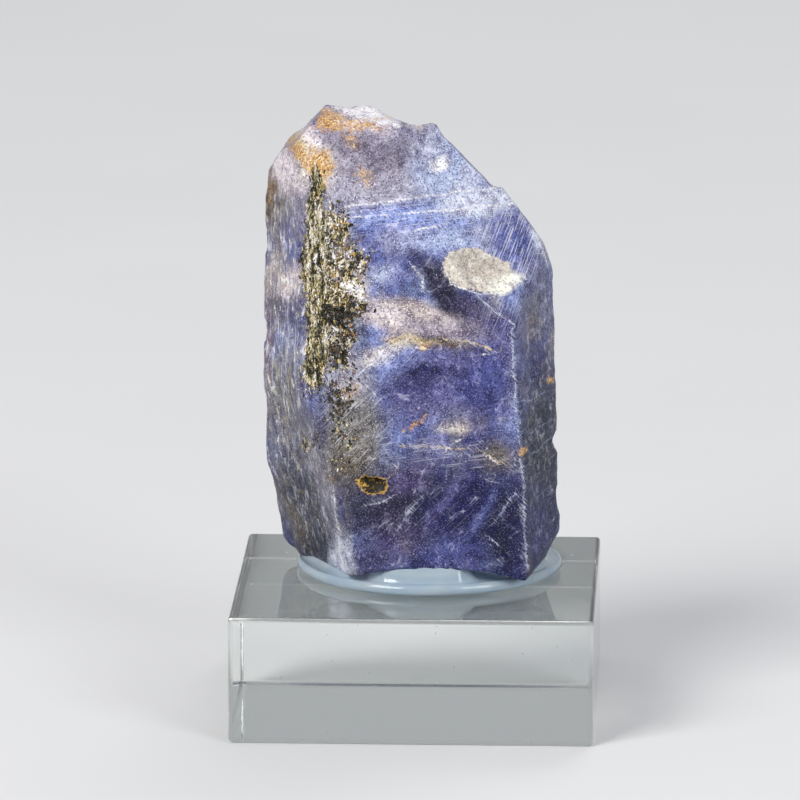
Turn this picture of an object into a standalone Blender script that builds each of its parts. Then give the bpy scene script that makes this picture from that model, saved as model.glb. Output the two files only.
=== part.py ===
"""A blue-violet corundum crystal on its gel pad and clear display block.

Blender 4.5, metres, +Z up, the front towards -Y. The origin is the middle of the block's underside.
The stone stands on the gel, and the gel lies on the block: three loose pieces, one above another.
"""
import math
import random

import bmesh
import bpy
from mathutils import Matrix, Vector

MM = 0.001

# Driving dimensions
BLOCK_SIDE = 38.0 * MM
BLOCK_HEIGHT = 13.4 * MM
BLOCK_EDGE = 0.45 * MM
GAP = 0.3 * MM
GEL_WIDTH = 28.2 * MM
GEL_DEPTH = 26.4 * MM
GEL_CENTRE = Vector((1.05, 4.05, 0.0)) * MM
GEL_TOP = 16.1 * MM
GEL_RIM = 2.2 * MM

# The heart is the point from which every facet of the crystal is measured
HEART = Vector((-0.9, 2.4, 38.0)) * MM

# A facet is (turn, tip, reach): degrees from the front towards the right, degrees above level,
# and millimetres from the heart.
SIDE_FACETS = {
    "front": (1, 2, 9.42),
    "mica_bevel": (-28, 1, 11.08),
    "left": (-66, 0.5, 13.04),
    "back_left": (-124, 0.5, 14.63),
    "back": (176, 3, 9.47),
    "back_right": (117, -0.5, 13.05),
    "right": (64, 3.7, 14.38),
    "scratched": (36, 27, 14.16),
    "brow_low": (0.5, 7, 10.58),
    "brow": (-1, 17, 12.99),
    "right_slope": (100, 36, 17.75),
    "right_chamfer": (92, 22, 17.10),
}

# How far the common sides of each growth block stand in from those of the prism, in mm
BLOCK_STEPS = {"prism": 0.0, "shoulder": 0.13, "crown": 0.24, "peak": 0.37}

# The crystal grew as four blocks with common sides, each ending in facets of its own
GROWTH_BLOCKS = {
    "prism": {
        "foot": (0, -90, 23.10),
        "left_foot": (-62.5, -10, 13.23),
        "right_foot": (80, -28, 23.29),
        "left_toe": (-80, -42, 24.32),
        "ledge": (-6, 70, 19.70),
        "prism_top": (150, 76, 17.61),
        "left_chamfer": (-92, 17, 19.36),
        "prism_back": (172, 44, 12.67),
    },
    "shoulder": {
        "shoulder_floor": (0, -90, -7.0),
        "shoulder_chamfer": (-92, 17, 19.22),
        "left_shoulder": (-92, 36, 23.06),
        "shoulder_top": (-80, 72, 24.10),
        "shoulder_brow": (-35, 30, 19.98),
        "shoulder_right": (75, 35, 6.76),
        "shoulder_back": (170, 45, 13.99),
    },
    "crown": {
        "crown_floor": (0, -90, -2.0),
        "crown_front": (-5, 32.5, 15.99),
        "crown_left": (-88, 38, 22.94),
        "crown_right": (100, 43, 17.88),
        "crown_top": (175, 72, 22.02),
        "crown_back": (165, 38, 14.86),
    },
    "peak": {
        "peak_floor": (0, -90, -12.0),
        "peak_front": (-8, 40, 19.19),
        "peak_left": (-92, 40, 23.30),
        "peak_right": (95, 68, 22.07),
        "peak_top": (-2, 77, 24.90),
        "peak_back": (162, 35, 12.95),
        "peak_slope": (100, 43, 17.70),
    },
}

# A scar is a shallow bowl broken out of a facet: the facet, (across, up) of its middle on it in mm,
# (half width, half height, depth) in mm, and its roll in degrees.
SCARS = {
    "thumb_scar": ("scratched", (1.4, 3.6), (4.9, 2.5, 0.60), -8),
    "lens_scar": ("front", (2.3, 4.0), (7.4, 1.9, 0.45), -14),
    "violet_scar": ("front", (1.7, -2.7), (4.2, 3.6, 0.35), 10),
    "low_scar": ("front", (5.2, -15.8), (4.6, 3.0, 0.30), 25),
    "pocket": ("front", (-3.8, -13.2), (1.5, 0.85, 0.55), -8),
    "crest_scar": ("scratched", (-0.1, 15.6), (1.2, 1.0, 0.50), 20),
    "crown_scar": ("crown_front", (-2.8, 14.3), (3.2, 2.0, 0.35), -20),
    "left_scar": ("left", (-1.5, 7.2), (2.4, 1.5, 0.45), 10),
    "left_low_scar": ("left_foot", (-4.9, -6.7), (3.4, 5.0, 0.45), 12),
    "right_scar": ("right", (0.3, 1.0), (1.9, 4.4, 0.35), 6),
    "right_dent": ("back_right", (-4.5, -15.9), (3.0, 3.8, 0.50), 15),
    "back_scar_high": ("back", (-1.8, 5.5), (5.2, 6.0, 0.80), 30),
    "back_scar_mid": ("back", (6.8, -7.5), (5.6, 4.2, 0.70), -25),
    "back_scar_low": ("back", (-4.2, -18.0), (4.0, 3.0, 0.60), 10),
    "back_left_scar": ("back_left", (1.4, -10.1), (3.6, 6.0, 0.70), 0),
    "back_right_scar": ("back_right", (1.5, 6.0), (3.8, 5.0, 0.60), -12),
    "back_slope_scar": ("crown_back", (1.0, 11.5), (5.0, 3.4, 0.80), 15),
    "foot_arch": ("foot", (2.7, 10.6), (9.2, 6.5, 1.25), 0),
}

SMOOTH_SCARS = ("thumb_scar", "lens_scar", "foot_arch")

# A notch is a scar on the edge between two facets, at a distance along it in mm from the point
# of that edge nearest the heart, counted upwards or to the right.
NOTCHES = {
    "right_notch": ("right", "back_right", -10.4, (1.9, 1.1, 0.70)),
    "right_notch_low": ("right", "back_right", -16.5, (1.6, 1.8, 0.35)),
    "left_notch": ("left", "back_left", 0.6, (1.7, 1.3, 0.50)),
    "left_notch_high": ("left", "back_left", 10.6, (1.5, 1.8, 0.40)),
    "toe_notch": ("left_foot", "back_left", -15.0, (2.2, 2.4, 0.60)),
}

# Chips worn along an edge: the two facets, from and to in mm, how many, widest half width in mm
CHIPPED_EDGES = {
    "right_ridge": ("front", "right", -22.0, 3.5, 10, 0.75),
    "left_ridge": ("mica_bevel", "left_foot", -20.0, -4.0, 7, 0.80),
    "bevel_ridge": ("mica_bevel", "left", -2.0, 17.0, 5, 0.65),
    "brow_line": ("brow", "ledge", -4.5, 1.6, 3, 0.60),
    "back_right_ridge": ("back", "back_right", -20.0, 12.0, 7, 1.20),
    "back_left_ridge": ("back", "back_left", -20.0, 14.0, 7, 1.20),
}
CHIP_SEED = 11

# The ball that cuts a scar has its middle this many depths above the surface
SCAR_LIFT = 1.2

# Mica grown into the bevel: hexagonal books standing a little proud of it
MICA_FACET = "mica_bevel"
MICA_MIDDLE = (-3.6, 7.2)
MICA_HALF_WIDTH = 2.9 * MM
MICA_HALF_HEIGHT = 9.0 * MM
MICA_BOOKS = 46
MICA_SEED = 5


def facing(turn, tip):
    """Unit vector of a facet that is turned from the front to the right, and tipped up."""
    turn = math.radians(turn)
    tip = math.radians(tip)
    level = math.cos(tip)
    return Vector((math.sin(turn) * level, -math.cos(turn) * level, math.sin(tip)))


def frame_on(point, out):
    """Matrix whose Z leaves the surface at a point along out, with its X level."""
    across = Vector((-out.y, out.x, 0.0))
    across = across.normalized() if across.length > 0.001 else Vector((1.0, 0.0, 0.0))
    up = out.cross(across)
    return Matrix.Translation(point) @ Matrix((across, up, out)).transposed().to_4x4()


def all_facets():
    facets = dict(SIDE_FACETS)
    for ends in GROWTH_BLOCKS.values():
        facets.update(ends)
    return facets


def place_on(facet, across, up, roll=0.0):
    """Matrix standing on a named facet, at a distance across and up it from the heart's foot."""
    turn, tip, reach = all_facets()[facet]
    foot = HEART + facing(turn, tip) * reach * MM
    stand = frame_on(foot, facing(turn, tip))
    return stand @ Matrix.Translation((across * MM, up * MM, 0.0)) @ Matrix.Rotation(roll, 4, "Z")


def edge_between(first, second):
    """The line where two facets meet: its point nearest the heart, its direction, and the way out."""
    facets = all_facets()
    first_out = facing(*facets[first][:2])
    second_out = facing(*facets[second][:2])
    first_reach = facets[first][2] * MM
    second_reach = facets[second][2] * MM
    along = first_out.cross(second_out).normalized()
    upright = abs(along.z) > 0.5
    if (along.z if upright else along.x) < 0:
        along = -along
    lean = first_out.dot(second_out)
    spread = 1.0 - lean * lean
    nearest = (
        HEART
        + first_out * (first_reach - lean * second_reach) / spread
        + second_out * (second_reach - lean * first_reach) / spread
    )
    return nearest, along, (first_out + second_out).normalized()


def block_facets(name):
    """The common sides, set in by the block's step, and the block's own ends."""
    step = BLOCK_STEPS[name]
    facets = {side: (turn, tip, reach - step) for side, (turn, tip, reach) in SIDE_FACETS.items()}
    facets.update(GROWTH_BLOCKS[name])
    return facets


def clear_scene():
    for obj in list(bpy.data.objects):
        bpy.data.objects.remove(obj, do_unlink=True)


def new_collection(name):
    group = bpy.data.collections.new(name)
    bpy.context.scene.collection.children.link(group)
    return group


def new_object(name, mesh_work, group):
    """Turn a finished bmesh into an object of the collection."""
    mesh = bpy.data.meshes.new(name)
    mesh_work.to_mesh(mesh)
    mesh_work.free()
    obj = bpy.data.objects.new(name, mesh)
    group.objects.link(obj)
    return obj


def hide_cutter(obj):
    obj.hide_render = True
    obj.display_type = "WIRE"


def add_boolean(obj, operand, operation):
    """Cut or join one operand, an object or a whole collection."""
    step = obj.modifiers.new(operand.name, "BOOLEAN")
    step.operation = operation
    step.solver = "EXACT"
    if isinstance(operand, bpy.types.Collection):
        step.operand_type = "COLLECTION"
        step.collection = operand
    else:
        step.object = operand


def material(name, colour, roughness, metallic=0.0, alpha=1.0):
    mat = bpy.data.materials.new(name)
    mat.use_nodes = True
    shader = mat.node_tree.nodes["Principled BSDF"]
    shader.inputs["Base Color"].default_value = (*colour, 1.0)
    shader.inputs["Roughness"].default_value = roughness
    shader.inputs["Metallic"].default_value = metallic
    shader.inputs["Alpha"].default_value = alpha
    return mat


def cut_block(name, facets, group, growth=0.0):
    """A cube cut down by one plane for each facet, all moved out by the growth."""
    work = bmesh.new()
    bmesh.ops.create_cube(work, size=200 * MM)
    bmesh.ops.translate(work, verts=work.verts, vec=HEART)
    for turn, tip, reach in facets.values():
        out = facing(turn, tip)
        everything = work.verts[:] + work.edges[:] + work.faces[:]
        cut = bmesh.ops.bisect_plane(
            work,
            geom=everything,
            plane_co=HEART + out * (reach * MM + growth),
            plane_no=out,
            clear_outer=True,
        )
        rim = [item for item in cut["geom_cut"] if isinstance(item, bmesh.types.BMEdge)]
        if rim:
            bmesh.ops.holes_fill(work, edges=rim, sides=0)
    bmesh.ops.dissolve_degenerate(work, edges=work.edges, dist=0.01 * MM)
    bmesh.ops.recalc_face_normals(work, faces=work.faces)
    return new_object(name, work, group)


def scar_cutter(name, place, size, group, fineness=2, spin=0.0):
    """A squashed ball that reaches as deep as the scar and is as wide at the surface."""
    half_width, half_height, depth = [value * MM for value in size]
    lift = SCAR_LIFT * depth
    radius = lift + depth
    spread = 1.0 / math.sqrt(1.0 - (lift / radius) ** 2)
    work = bmesh.new()
    bmesh.ops.create_icosphere(work, subdivisions=fineness, radius=1.0)
    shape = Matrix.Diagonal((half_width * spread, half_height * spread, radius, 1.0))
    raised = place @ Matrix.Translation((0.0, 0.0, lift))
    uneven = Matrix.Rotation(spin, 4, "X") @ Matrix.Rotation(2.0 * spin, 4, "Z")
    bmesh.ops.transform(work, matrix=raised @ shape @ uneven, verts=work.verts)
    cutter = new_object(name, work, group)
    hide_cutter(cutter)
    return cutter


def make_scars(group):
    """The broad scars are smooth bowls, and the others break in flat flakes."""
    for name, (facet, (across, up), size, roll) in SCARS.items():
        place = place_on(facet, across, up, math.radians(roll))
        fineness = 3 if name in SMOOTH_SCARS else 2
        scar_cutter(name, place, size, group, fineness, spin=roll)
    for name, (first, second, distance, size) in NOTCHES.items():
        nearest, along, out = edge_between(first, second)
        scar_cutter(name, frame_on(nearest + along * distance * MM, out), size, group)


def make_edge_chips(group):
    """Small scars at uneven steps along each worn edge."""
    draw = random.Random(CHIP_SEED)
    for name, (first, second, start, end, count, widest) in CHIPPED_EDGES.items():
        nearest, along, out = edge_between(first, second)
        for index in range(count):
            share = (index + 0.5 + draw.uniform(-0.3, 0.3)) / count
            distance = start + (end - start) * share
            half = widest * draw.uniform(0.6, 1.0)
            size = (half, half * draw.uniform(1.0, 1.9), half * 0.35)
            place = frame_on(nearest + along * distance * MM, out)
            scar_cutter(f"{name}_chip_{index}", place, size, group, spin=share)


def make_mica_books(group):
    """Hexagonal plates scattered on the bevel, each tilted its own way."""
    draw = random.Random(MICA_SEED)
    for index in range(MICA_BOOKS):
        across = draw.uniform(-1, 1) * MICA_HALF_WIDTH
        up = draw.uniform(-1, 1) * MICA_HALF_HEIGHT
        radius = draw.uniform(0.55, 1.15) * MM
        thickness = draw.uniform(0.7, 1.1) * MM
        sink = draw.uniform(-0.42, -0.14) * MM
        place = place_on(MICA_FACET, *MICA_MIDDLE) @ Matrix.Translation((across, up, sink))
        lean = Matrix.Rotation(math.radians(draw.uniform(-20, 20)), 4, "X")
        yaw = Matrix.Rotation(math.radians(draw.uniform(-20, 20)), 4, "Y")
        spin = Matrix.Rotation(math.radians(draw.uniform(0, 60)), 4, "Z")
        stretch = Matrix.Diagonal((draw.uniform(0.6, 1.0), 1.25, 1.0, 1.0))
        work = bmesh.new()
        bmesh.ops.create_cone(
            work, cap_ends=True, segments=6, radius1=radius, radius2=radius, depth=thickness
        )
        bmesh.ops.transform(work, matrix=place @ lean @ yaw @ stretch @ spin, verts=work.verts)
        hide_cutter(new_object(f"mica_book_{index}", work, group))


def make_crystal(group, cutter_home):
    """Growth blocks fused into one stone, with its mica books, then its scars and chips."""
    growth = bpy.data.collections.new("growth_blocks")
    mica = bpy.data.collections.new("mica_books")
    breaks = bpy.data.collections.new("scars_and_chips")
    for child in (growth, mica, breaks):
        cutter_home.children.link(child)
    for name in ("shoulder", "crown", "peak"):
        hide_cutter(cut_block(name, block_facets(name), growth))
    make_mica_books(mica)
    make_scars(breaks)
    make_edge_chips(breaks)
    stone = cut_block("corundum_crystal", block_facets("prism"), group)
    add_boolean(stone, growth, "UNION")
    add_boolean(stone, breaks, "DIFFERENCE")
    add_boolean(stone, mica, "UNION")
    stone.data.materials.append(material("blue_violet_corundum", (0.16, 0.16, 0.42), 0.42))
    return stone


def make_gel_pad(group, cutters):
    """A soft lens-edged disc, with the stone's foot pressed into its top."""
    radius = GEL_WIDTH / 2
    bottom = BLOCK_HEIGHT + GAP
    height = GEL_TOP - bottom
    work = bmesh.new()
    profile = [Vector((0.0, 0.0, height))]
    rim_steps = 7
    for index in range(rim_steps + 1):
        angle = math.radians(90 - 90 * index / rim_steps)
        out = radius - GEL_RIM + GEL_RIM * math.cos(angle)
        profile.append(Vector((out, 0.0, height * math.sin(angle))))
    profile.append(Vector((0.0, 0.0, 0.0)))
    points = [work.verts.new(point) for point in profile]
    for first, second in zip(points, points[1:]):
        work.edges.new((first, second))
    pad = new_object("gel_pad", work, group)
    pad.location = GEL_CENTRE + Vector((0.0, 0.0, bottom))
    pad.scale = (1.0, GEL_DEPTH / GEL_WIDTH, 1.0)
    turn = pad.modifiers.new("turned", "SCREW")
    turn.steps = 72
    turn.render_steps = 72
    turn.use_merge_vertices = True
    turn.merge_threshold = 0.00001
    foot = cut_block("foot_print", block_facets("prism"), cutters, growth=GAP)
    hide_cutter(foot)
    facet, (across, up), size, roll = SCARS["foot_arch"]
    arch_place = place_on(facet, across, up, roll) @ Matrix.Translation((0.0, 0.0, GAP))
    arch = scar_cutter("arch_print", arch_place, size, cutters, fineness=3)
    add_boolean(foot, arch, "DIFFERENCE")
    add_boolean(pad, foot, "DIFFERENCE")
    pad.data.materials.append(material("milky_gel", (0.62, 0.76, 0.84), 0.15, alpha=0.6))
    return pad


def make_display_block(group):
    """A square clear slab with fine polished bevels."""
    work = bmesh.new()
    bmesh.ops.create_cube(work, size=1.0)
    bmesh.ops.scale(work, verts=work.verts, vec=(BLOCK_SIDE, BLOCK_SIDE, BLOCK_HEIGHT))
    block = new_object("display_block", work, group)
    block.location = (0.0, 0.0, BLOCK_HEIGHT / 2)
    bevel = block.modifiers.new("polished_edges", "BEVEL")
    bevel.width = BLOCK_EDGE
    bevel.segments = 2
    block.data.materials.append(material("clear_acrylic", (0.90, 0.93, 0.92), 0.03, alpha=0.35))
    return block


def main():
    clear_scene()
    specimen = new_collection("corundum_specimen")
    cutters = new_collection("cutters")
    make_display_block(specimen)
    make_gel_pad(specimen, cutters)
    make_crystal(specimen, cutters)


main()
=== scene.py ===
# %% [markdown]
# # A corundum crystal on its display block
#
# This lesson dresses three solids: a blue-violet stone, the soft gel pad that it is pressed into
# and a clear block. The solids give the sizes and the places. Here each one gets the surface that
# the real piece has: worn crystal faces with frost, veils, rust and mica, a milky gel that climbs
# the stone, and polished acrylic. All lengths are worked out in millimetres and put into the
# meshes in metres.

# %% Load the solids and measure them
import itertools
import math
import random
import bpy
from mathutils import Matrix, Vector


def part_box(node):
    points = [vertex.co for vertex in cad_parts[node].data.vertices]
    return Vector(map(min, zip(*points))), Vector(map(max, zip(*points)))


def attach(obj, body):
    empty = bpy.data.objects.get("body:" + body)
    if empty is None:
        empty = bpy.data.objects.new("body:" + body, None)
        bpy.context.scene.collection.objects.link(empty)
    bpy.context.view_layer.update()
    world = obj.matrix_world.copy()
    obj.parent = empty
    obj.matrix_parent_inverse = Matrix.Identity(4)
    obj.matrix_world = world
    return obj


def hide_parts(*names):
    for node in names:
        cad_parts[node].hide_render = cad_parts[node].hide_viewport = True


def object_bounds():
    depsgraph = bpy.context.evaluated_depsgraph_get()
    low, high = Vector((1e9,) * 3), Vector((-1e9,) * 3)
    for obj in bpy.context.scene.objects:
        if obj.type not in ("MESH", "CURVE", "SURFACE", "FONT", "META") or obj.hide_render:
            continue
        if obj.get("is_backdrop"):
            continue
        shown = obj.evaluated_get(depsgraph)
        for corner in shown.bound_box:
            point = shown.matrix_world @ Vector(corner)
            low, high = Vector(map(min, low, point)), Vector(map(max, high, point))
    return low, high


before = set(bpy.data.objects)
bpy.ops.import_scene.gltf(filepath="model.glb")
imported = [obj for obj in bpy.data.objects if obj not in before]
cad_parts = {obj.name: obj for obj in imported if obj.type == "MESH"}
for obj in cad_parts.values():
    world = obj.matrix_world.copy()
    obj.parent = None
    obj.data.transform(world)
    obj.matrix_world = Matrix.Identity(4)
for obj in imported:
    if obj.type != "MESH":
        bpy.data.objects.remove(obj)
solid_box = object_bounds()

from types import SimpleNamespace

import bpy
import numpy as np
from mathutils import Matrix, Vector

MM = 0.001
stone_box = np.array(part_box("corundum_crystal")) / MM
gel_box = np.array(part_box("gel_pad")) / MM
block_box = np.array(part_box("display_block")) / MM
for title, corners in (("stone", stone_box), ("gel", gel_box), ("block", block_box)):
    print(title, "mm from", corners[0].round(2), "to", corners[1].round(2))

# %% [markdown]
# ## Meshes from arrays
#
# Every new piece is a surface that depends on two numbers, worked out as whole numpy arrays: rings
# of points from a low tip to a high tip. One helper turns such rings into a closed mesh, so each
# piece needs only its own formula. Blender takes the lists in one call, which is much faster than
# adding points one at a time.

# %% Helpers that put arrays into Blender


def closed_surface(name, rings, low_tip, high_tip):
    """A closed mesh from rings of points in mm, low to high, each running anticlockwise from above."""
    count, steps = rings.shape[:2]
    points = np.concatenate([[low_tip], rings.reshape(-1, 3), [high_tip]]) * MM
    index = 1 + np.arange(count * steps).reshape(count, steps)
    after = np.roll(index, -1, axis=1)
    sides = np.stack([index[:-1], after[:-1], after[1:], index[1:]], axis=-1).reshape(-1, 4)
    foot = np.stack([np.zeros(steps, int), after[0], index[0]], axis=-1)
    crown = np.stack([np.full(steps, len(points) - 1), index[-1], after[-1]], axis=-1)
    return new_mesh(name, points, sides.tolist() + foot.tolist() + crown.tolist())


def new_mesh(name, points, faces, smooth=True):
    """An object at the origin that carries its place in its mesh."""
    mesh = bpy.data.meshes.new(name)
    mesh.from_pydata(points.tolist(), [], faces)
    mesh.polygons.foreach_set("use_smooth", np.full(len(mesh.polygons), smooth))
    mesh.update()
    obj = bpy.data.objects.new(name, mesh)
    bpy.context.scene.collection.objects.link(obj)
    size = (points.max(axis=0) - points.min(axis=0)) / MM
    print(f"{name}: {len(points)} points, {size.round(2)} mm")
    return obj


def store_colour(obj, name, values):
    """Four numbers a point, which a material reads with an Attribute node."""
    layer = obj.data.attributes.new(name, "FLOAT_COLOR", "POINT")
    layer.data.foreach_set("color", values.astype(np.float32).ravel())


# %% [markdown]
# ## Natural unevenness
#
# Nothing on a stone is regular, so shapes and colours both need a smooth random value at every
# point of space. Blender has noise textures for materials, but the mesh is built in numpy, so the
# same idea is written here: random numbers on the corners of a cubic lattice, blended between.

# %% Random values in space
LATTICE_PRIMES = np.array((73856093, 19349663, 83492791))
FIRST_MIX, SECOND_MIX = 1274126177, 2246822519
LOW_31_BITS, LOW_24_BITS, HALF_OF_24_BITS = 0x7FFFFFFF, 0xFFFFFF, 0x7FFFFF
SEED_STRIDE, SEED_SHIFT = 1013, 0.37


def soft_noise(points, size, seed):
    """From -1 to 1: lattice numbers this many mm apart, blended by the smooth step 3t^2 - 2t^3."""
    cell = points / size + SEED_SHIFT * seed
    base = np.floor(cell).astype(np.int64)
    part = cell - base
    part = part * part * (3 - 2 * part)
    total = np.zeros(points.shape[:-1])
    for corner in itertools.product((0, 1), repeat=3):
        spot = (base + corner) @ LATTICE_PRIMES + seed * SEED_STRIDE
        spot = ((spot ^ (spot >> 13)) * FIRST_MIX) & LOW_31_BITS
        spot = ((spot ^ (spot >> 15)) * SECOND_MIX) & LOW_24_BITS
        weight = np.prod(np.where(corner, part, 1 - part), axis=-1)
        total += weight * (spot / HALF_OF_24_BITS - 1)
    return total


def layered_noise(points, size, seed, layers=3):
    """Soft noise with finer and weaker copies of itself added, each half the size of the last."""
    parts = [soft_noise(points, size / 2**step, seed + step) / 2**step for step in range(layers)]
    return sum(parts) / sum(0.5**step for step in range(layers))


def smooth_step(low, high, values):
    """0 up to low, 1 from high, and a smooth rise between."""
    part = np.clip((values - low) / (high - low), 0, 1)
    return part * part * (3 - 2 * part)


# %% [markdown]
# ## The crystal's facets
#
# Corundum grows as six-sided prisms, and this one grew as four blocks with common sides, each
# ending in facets of its own. A facet is a plane, so the whole stone is a short table: which way
# each plane turns and tips, and how far it is from the heart of the stone. These are the same
# planes as the solid's, so the new skin lies where the solid does.

# %% The table of planes
HEART = np.array((-0.9, 2.4, 38.0))
# A facet is its turn from the front and its tip upwards in degrees, and its distance from the heart in mm
SIDE_FACETS = {
    "front": (1, 2, 9.42),
    "mica_bevel": (-28, 1, 11.08),
    "left": (-66, 0.5, 13.04),
    "back_left": (-124, 0.5, 14.63),
    "back": (176, 3, 9.47),
    "back_right": (117, -0.5, 13.05),
    "right": (64, 3.7, 14.38),
    "scratched": (36, 27, 14.16),
    "brow_low": (0.5, 7, 10.58),
    "brow": (-1, 17, 12.99),
    "right_slope": (100, 36, 17.75),
    "right_chamfer": (92, 22, 17.10),
}
BLOCK_STEPS = {"prism": 0.0, "shoulder": 0.13, "crown": 0.24, "peak": 0.37}
GROWTH_BLOCKS = {
    "prism": {
        "foot": (0, -90, 23.10),
        "left_foot": (-62.5, -10, 13.23),
        "right_foot": (80, -28, 23.29),
        "left_toe": (-80, -42, 24.32),
        "ledge": (-6, 70, 19.70),
        "prism_top": (150, 76, 17.61),
        "left_chamfer": (-92, 17, 19.36),
        "prism_back": (172, 44, 12.67),
    },
    "shoulder": {
        "shoulder_floor": (0, -90, -7.0),
        "shoulder_chamfer": (-92, 17, 19.22),
        "left_shoulder": (-92, 36, 23.06),
        "shoulder_top": (-80, 72, 24.10),
        "shoulder_brow": (-35, 30, 19.98),
        "shoulder_right": (75, 35, 6.76),
        "shoulder_back": (170, 45, 13.99),
    },
    "crown": {
        "crown_floor": (0, -90, -2.0),
        "crown_front": (-5, 32.5, 15.99),
        "crown_left": (-88, 38, 22.94),
        "crown_right": (100, 43, 17.88),
        "crown_top": (175, 72, 22.02),
        "crown_back": (165, 38, 14.86),
    },
    "peak": {
        "peak_floor": (0, -90, -12.0),
        "peak_front": (-8, 40, 19.19),
        "peak_left": (-92, 40, 23.30),
        "peak_right": (95, 68, 22.07),
        "peak_top": (-2, 77, 24.90),
        "peak_back": (162, 35, 12.95),
        "peak_slope": (100, 43, 17.70),
    },
}
END_FACETS = {name: facet for ends in GROWTH_BLOCKS.values() for name, facet in ends.items()}
ALL_FACETS = {**SIDE_FACETS, **END_FACETS}
PARALLEL = 1e-6


def facing(turn, tip):
    """Unit vector turned from the front towards the right, and tipped up, both in degrees."""
    turn, tip = math.radians(turn), math.radians(tip)
    return np.array((math.sin(turn) * math.cos(tip), -math.cos(turn) * math.cos(tip), math.sin(tip)))


def leave_convex(origins, rays, normals, reaches, wear):
    """How far each ray runs before it leaves a convex block of planes, or 0 where it misses the block.

    A ray leaves at the nearest plane that it runs towards. The soft minimum -w log(sum exp(-t/w))
    of those distances rounds the edges as wear does, w being the size of the wear.
    """
    speed = rays @ normals.T
    room = reaches - origins @ normals.T
    leaving = speed > PARALLEL
    exits = np.where(leaving, room / np.where(leaving, speed, 1.0), np.inf)
    nearest = exits.min(axis=1)
    worn = nearest - wear * np.log(np.exp((nearest[:, None] - exits) / wear).sum(axis=1))
    entering = speed < -PARALLEL
    entries = np.where(entering, room / np.where(entering, speed, 1.0), -np.inf).max(axis=1)
    outside = (~leaving & ~entering & (room < 0)).any(axis=1)
    hit = (nearest > np.maximum(entries, 0)) & ~outside
    return np.where(hit, worn, 0.0)


def block_reach(origins, rays, name, wear):
    """How far rays from inside run to the far side of one growth block."""
    step = BLOCK_STEPS[name]
    facets = {side: (turn, tip, reach - step) for side, (turn, tip, reach) in SIDE_FACETS.items()}
    facets.update(GROWTH_BLOCKS[name])
    normals = np.array([facing(turn, tip) for turn, tip, reach in facets.values()])
    reaches = np.array([reach for turn, tip, reach in facets.values()])
    return leave_convex(origins - HEART, rays, normals, reaches, wear)


print(len(ALL_FACETS), "facets in", len(GROWTH_BLOCKS), "growth blocks")

# %% [markdown]
# ## Scars, chips and mica books
#
# Broken places are bowls with curved walls, so each is a squashed ball that bites into a facet or
# an edge. Mica grows as stacks of six-sided plates, called books, which stand a little proud of the
# bevel. All are given by the facet that they sit on, and the chips and books are drawn with the
# same seeds as the solid's, so that both have the same ones.

# %% Places on the stone
# A scar is its facet, its place across and up it, its half width, half height and depth in mm, and its roll
SCARS = {
    "thumb_scar": ("scratched", (1.4, 3.6), (4.9, 2.5, 0.60), -8),
    "lens_scar": ("front", (2.3, 4.0), (7.4, 1.9, 0.45), -14),
    "violet_scar": ("front", (1.7, -2.7), (4.2, 3.6, 0.35), 10),
    "low_scar": ("front", (5.2, -15.8), (4.6, 3.0, 0.30), 25),
    "pocket": ("front", (-3.8, -13.2), (1.5, 0.85, 0.55), -8),
    "crest_scar": ("scratched", (-0.1, 15.6), (1.2, 1.0, 0.50), 20),
    "crown_scar": ("crown_front", (-2.8, 14.3), (3.2, 2.0, 0.35), -20),
    "left_scar": ("left", (-1.5, 7.2), (2.4, 1.5, 0.45), 10),
    "left_low_scar": ("left_foot", (-4.9, -6.7), (3.4, 5.0, 0.45), 12),
    "right_scar": ("right", (0.3, 1.0), (1.9, 4.4, 0.35), 6),
    "right_dent": ("back_right", (-4.5, -15.9), (3.0, 3.8, 0.50), 15),
    "back_scar_high": ("back", (-1.8, 5.5), (5.2, 6.0, 0.80), 30),
    "back_scar_mid": ("back", (6.8, -7.5), (5.6, 4.2, 0.70), -25),
    "back_scar_low": ("back", (-4.2, -18.0), (4.0, 3.0, 0.60), 10),
    "back_left_scar": ("back_left", (1.4, -10.1), (3.6, 6.0, 0.70), 0),
    "back_right_scar": ("back_right", (1.5, 6.0), (3.8, 5.0, 0.60), -12),
    "back_slope_scar": ("crown_back", (1.0, 11.5), (5.0, 3.4, 0.80), 15),
    "foot_arch": ("foot", (2.7, 10.6), (9.2, 6.5, 1.25), 0),
}
# A notch is two facets that meet, its place along their edge, and its half width, half height and depth
NOTCHES = {
    "right_notch": ("right", "back_right", -10.4, (1.9, 1.1, 0.70)),
    "right_notch_low": ("right", "back_right", -16.5, (1.6, 1.8, 0.35)),
    "left_notch": ("left", "back_left", 0.6, (1.7, 1.3, 0.50)),
    "left_notch_high": ("left", "back_left", 10.6, (1.5, 1.8, 0.40)),
    "toe_notch": ("left_foot", "back_left", -15.0, (2.2, 2.4, 0.60)),
}
# A chipped edge is two facets, the start and end along their edge, the count of chips and their half width
CHIPPED_EDGES = {
    "right_ridge": ("front", "right", -22.0, 3.5, 10, 0.75),
    "left_ridge": ("mica_bevel", "left_foot", -20.0, -4.0, 7, 0.80),
    "bevel_ridge": ("mica_bevel", "left", -2.0, 17.0, 5, 0.65),
    "brow_line": ("brow", "ledge", -4.5, 1.6, 3, 0.60),
    "back_right_ridge": ("back", "back_right", -20.0, 12.0, 7, 1.20),
    "back_left_ridge": ("back", "back_left", -20.0, 14.0, 7, 1.20),
}
SCAR_LIFT = 1.2
CHIP_SEED, CHIP_JITTER = 11, 0.3
CHIP_WIDTHS, CHIP_LENGTHS, CHIP_DEPTH = (0.6, 1.0), (1.0, 1.9), 0.35
BOOK_SEED, BOOK_COUNT = 5, 46
BOOK_MIDDLE, BOOK_SPREAD = (-3.6, 7.2), (2.9, 9.0)
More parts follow.
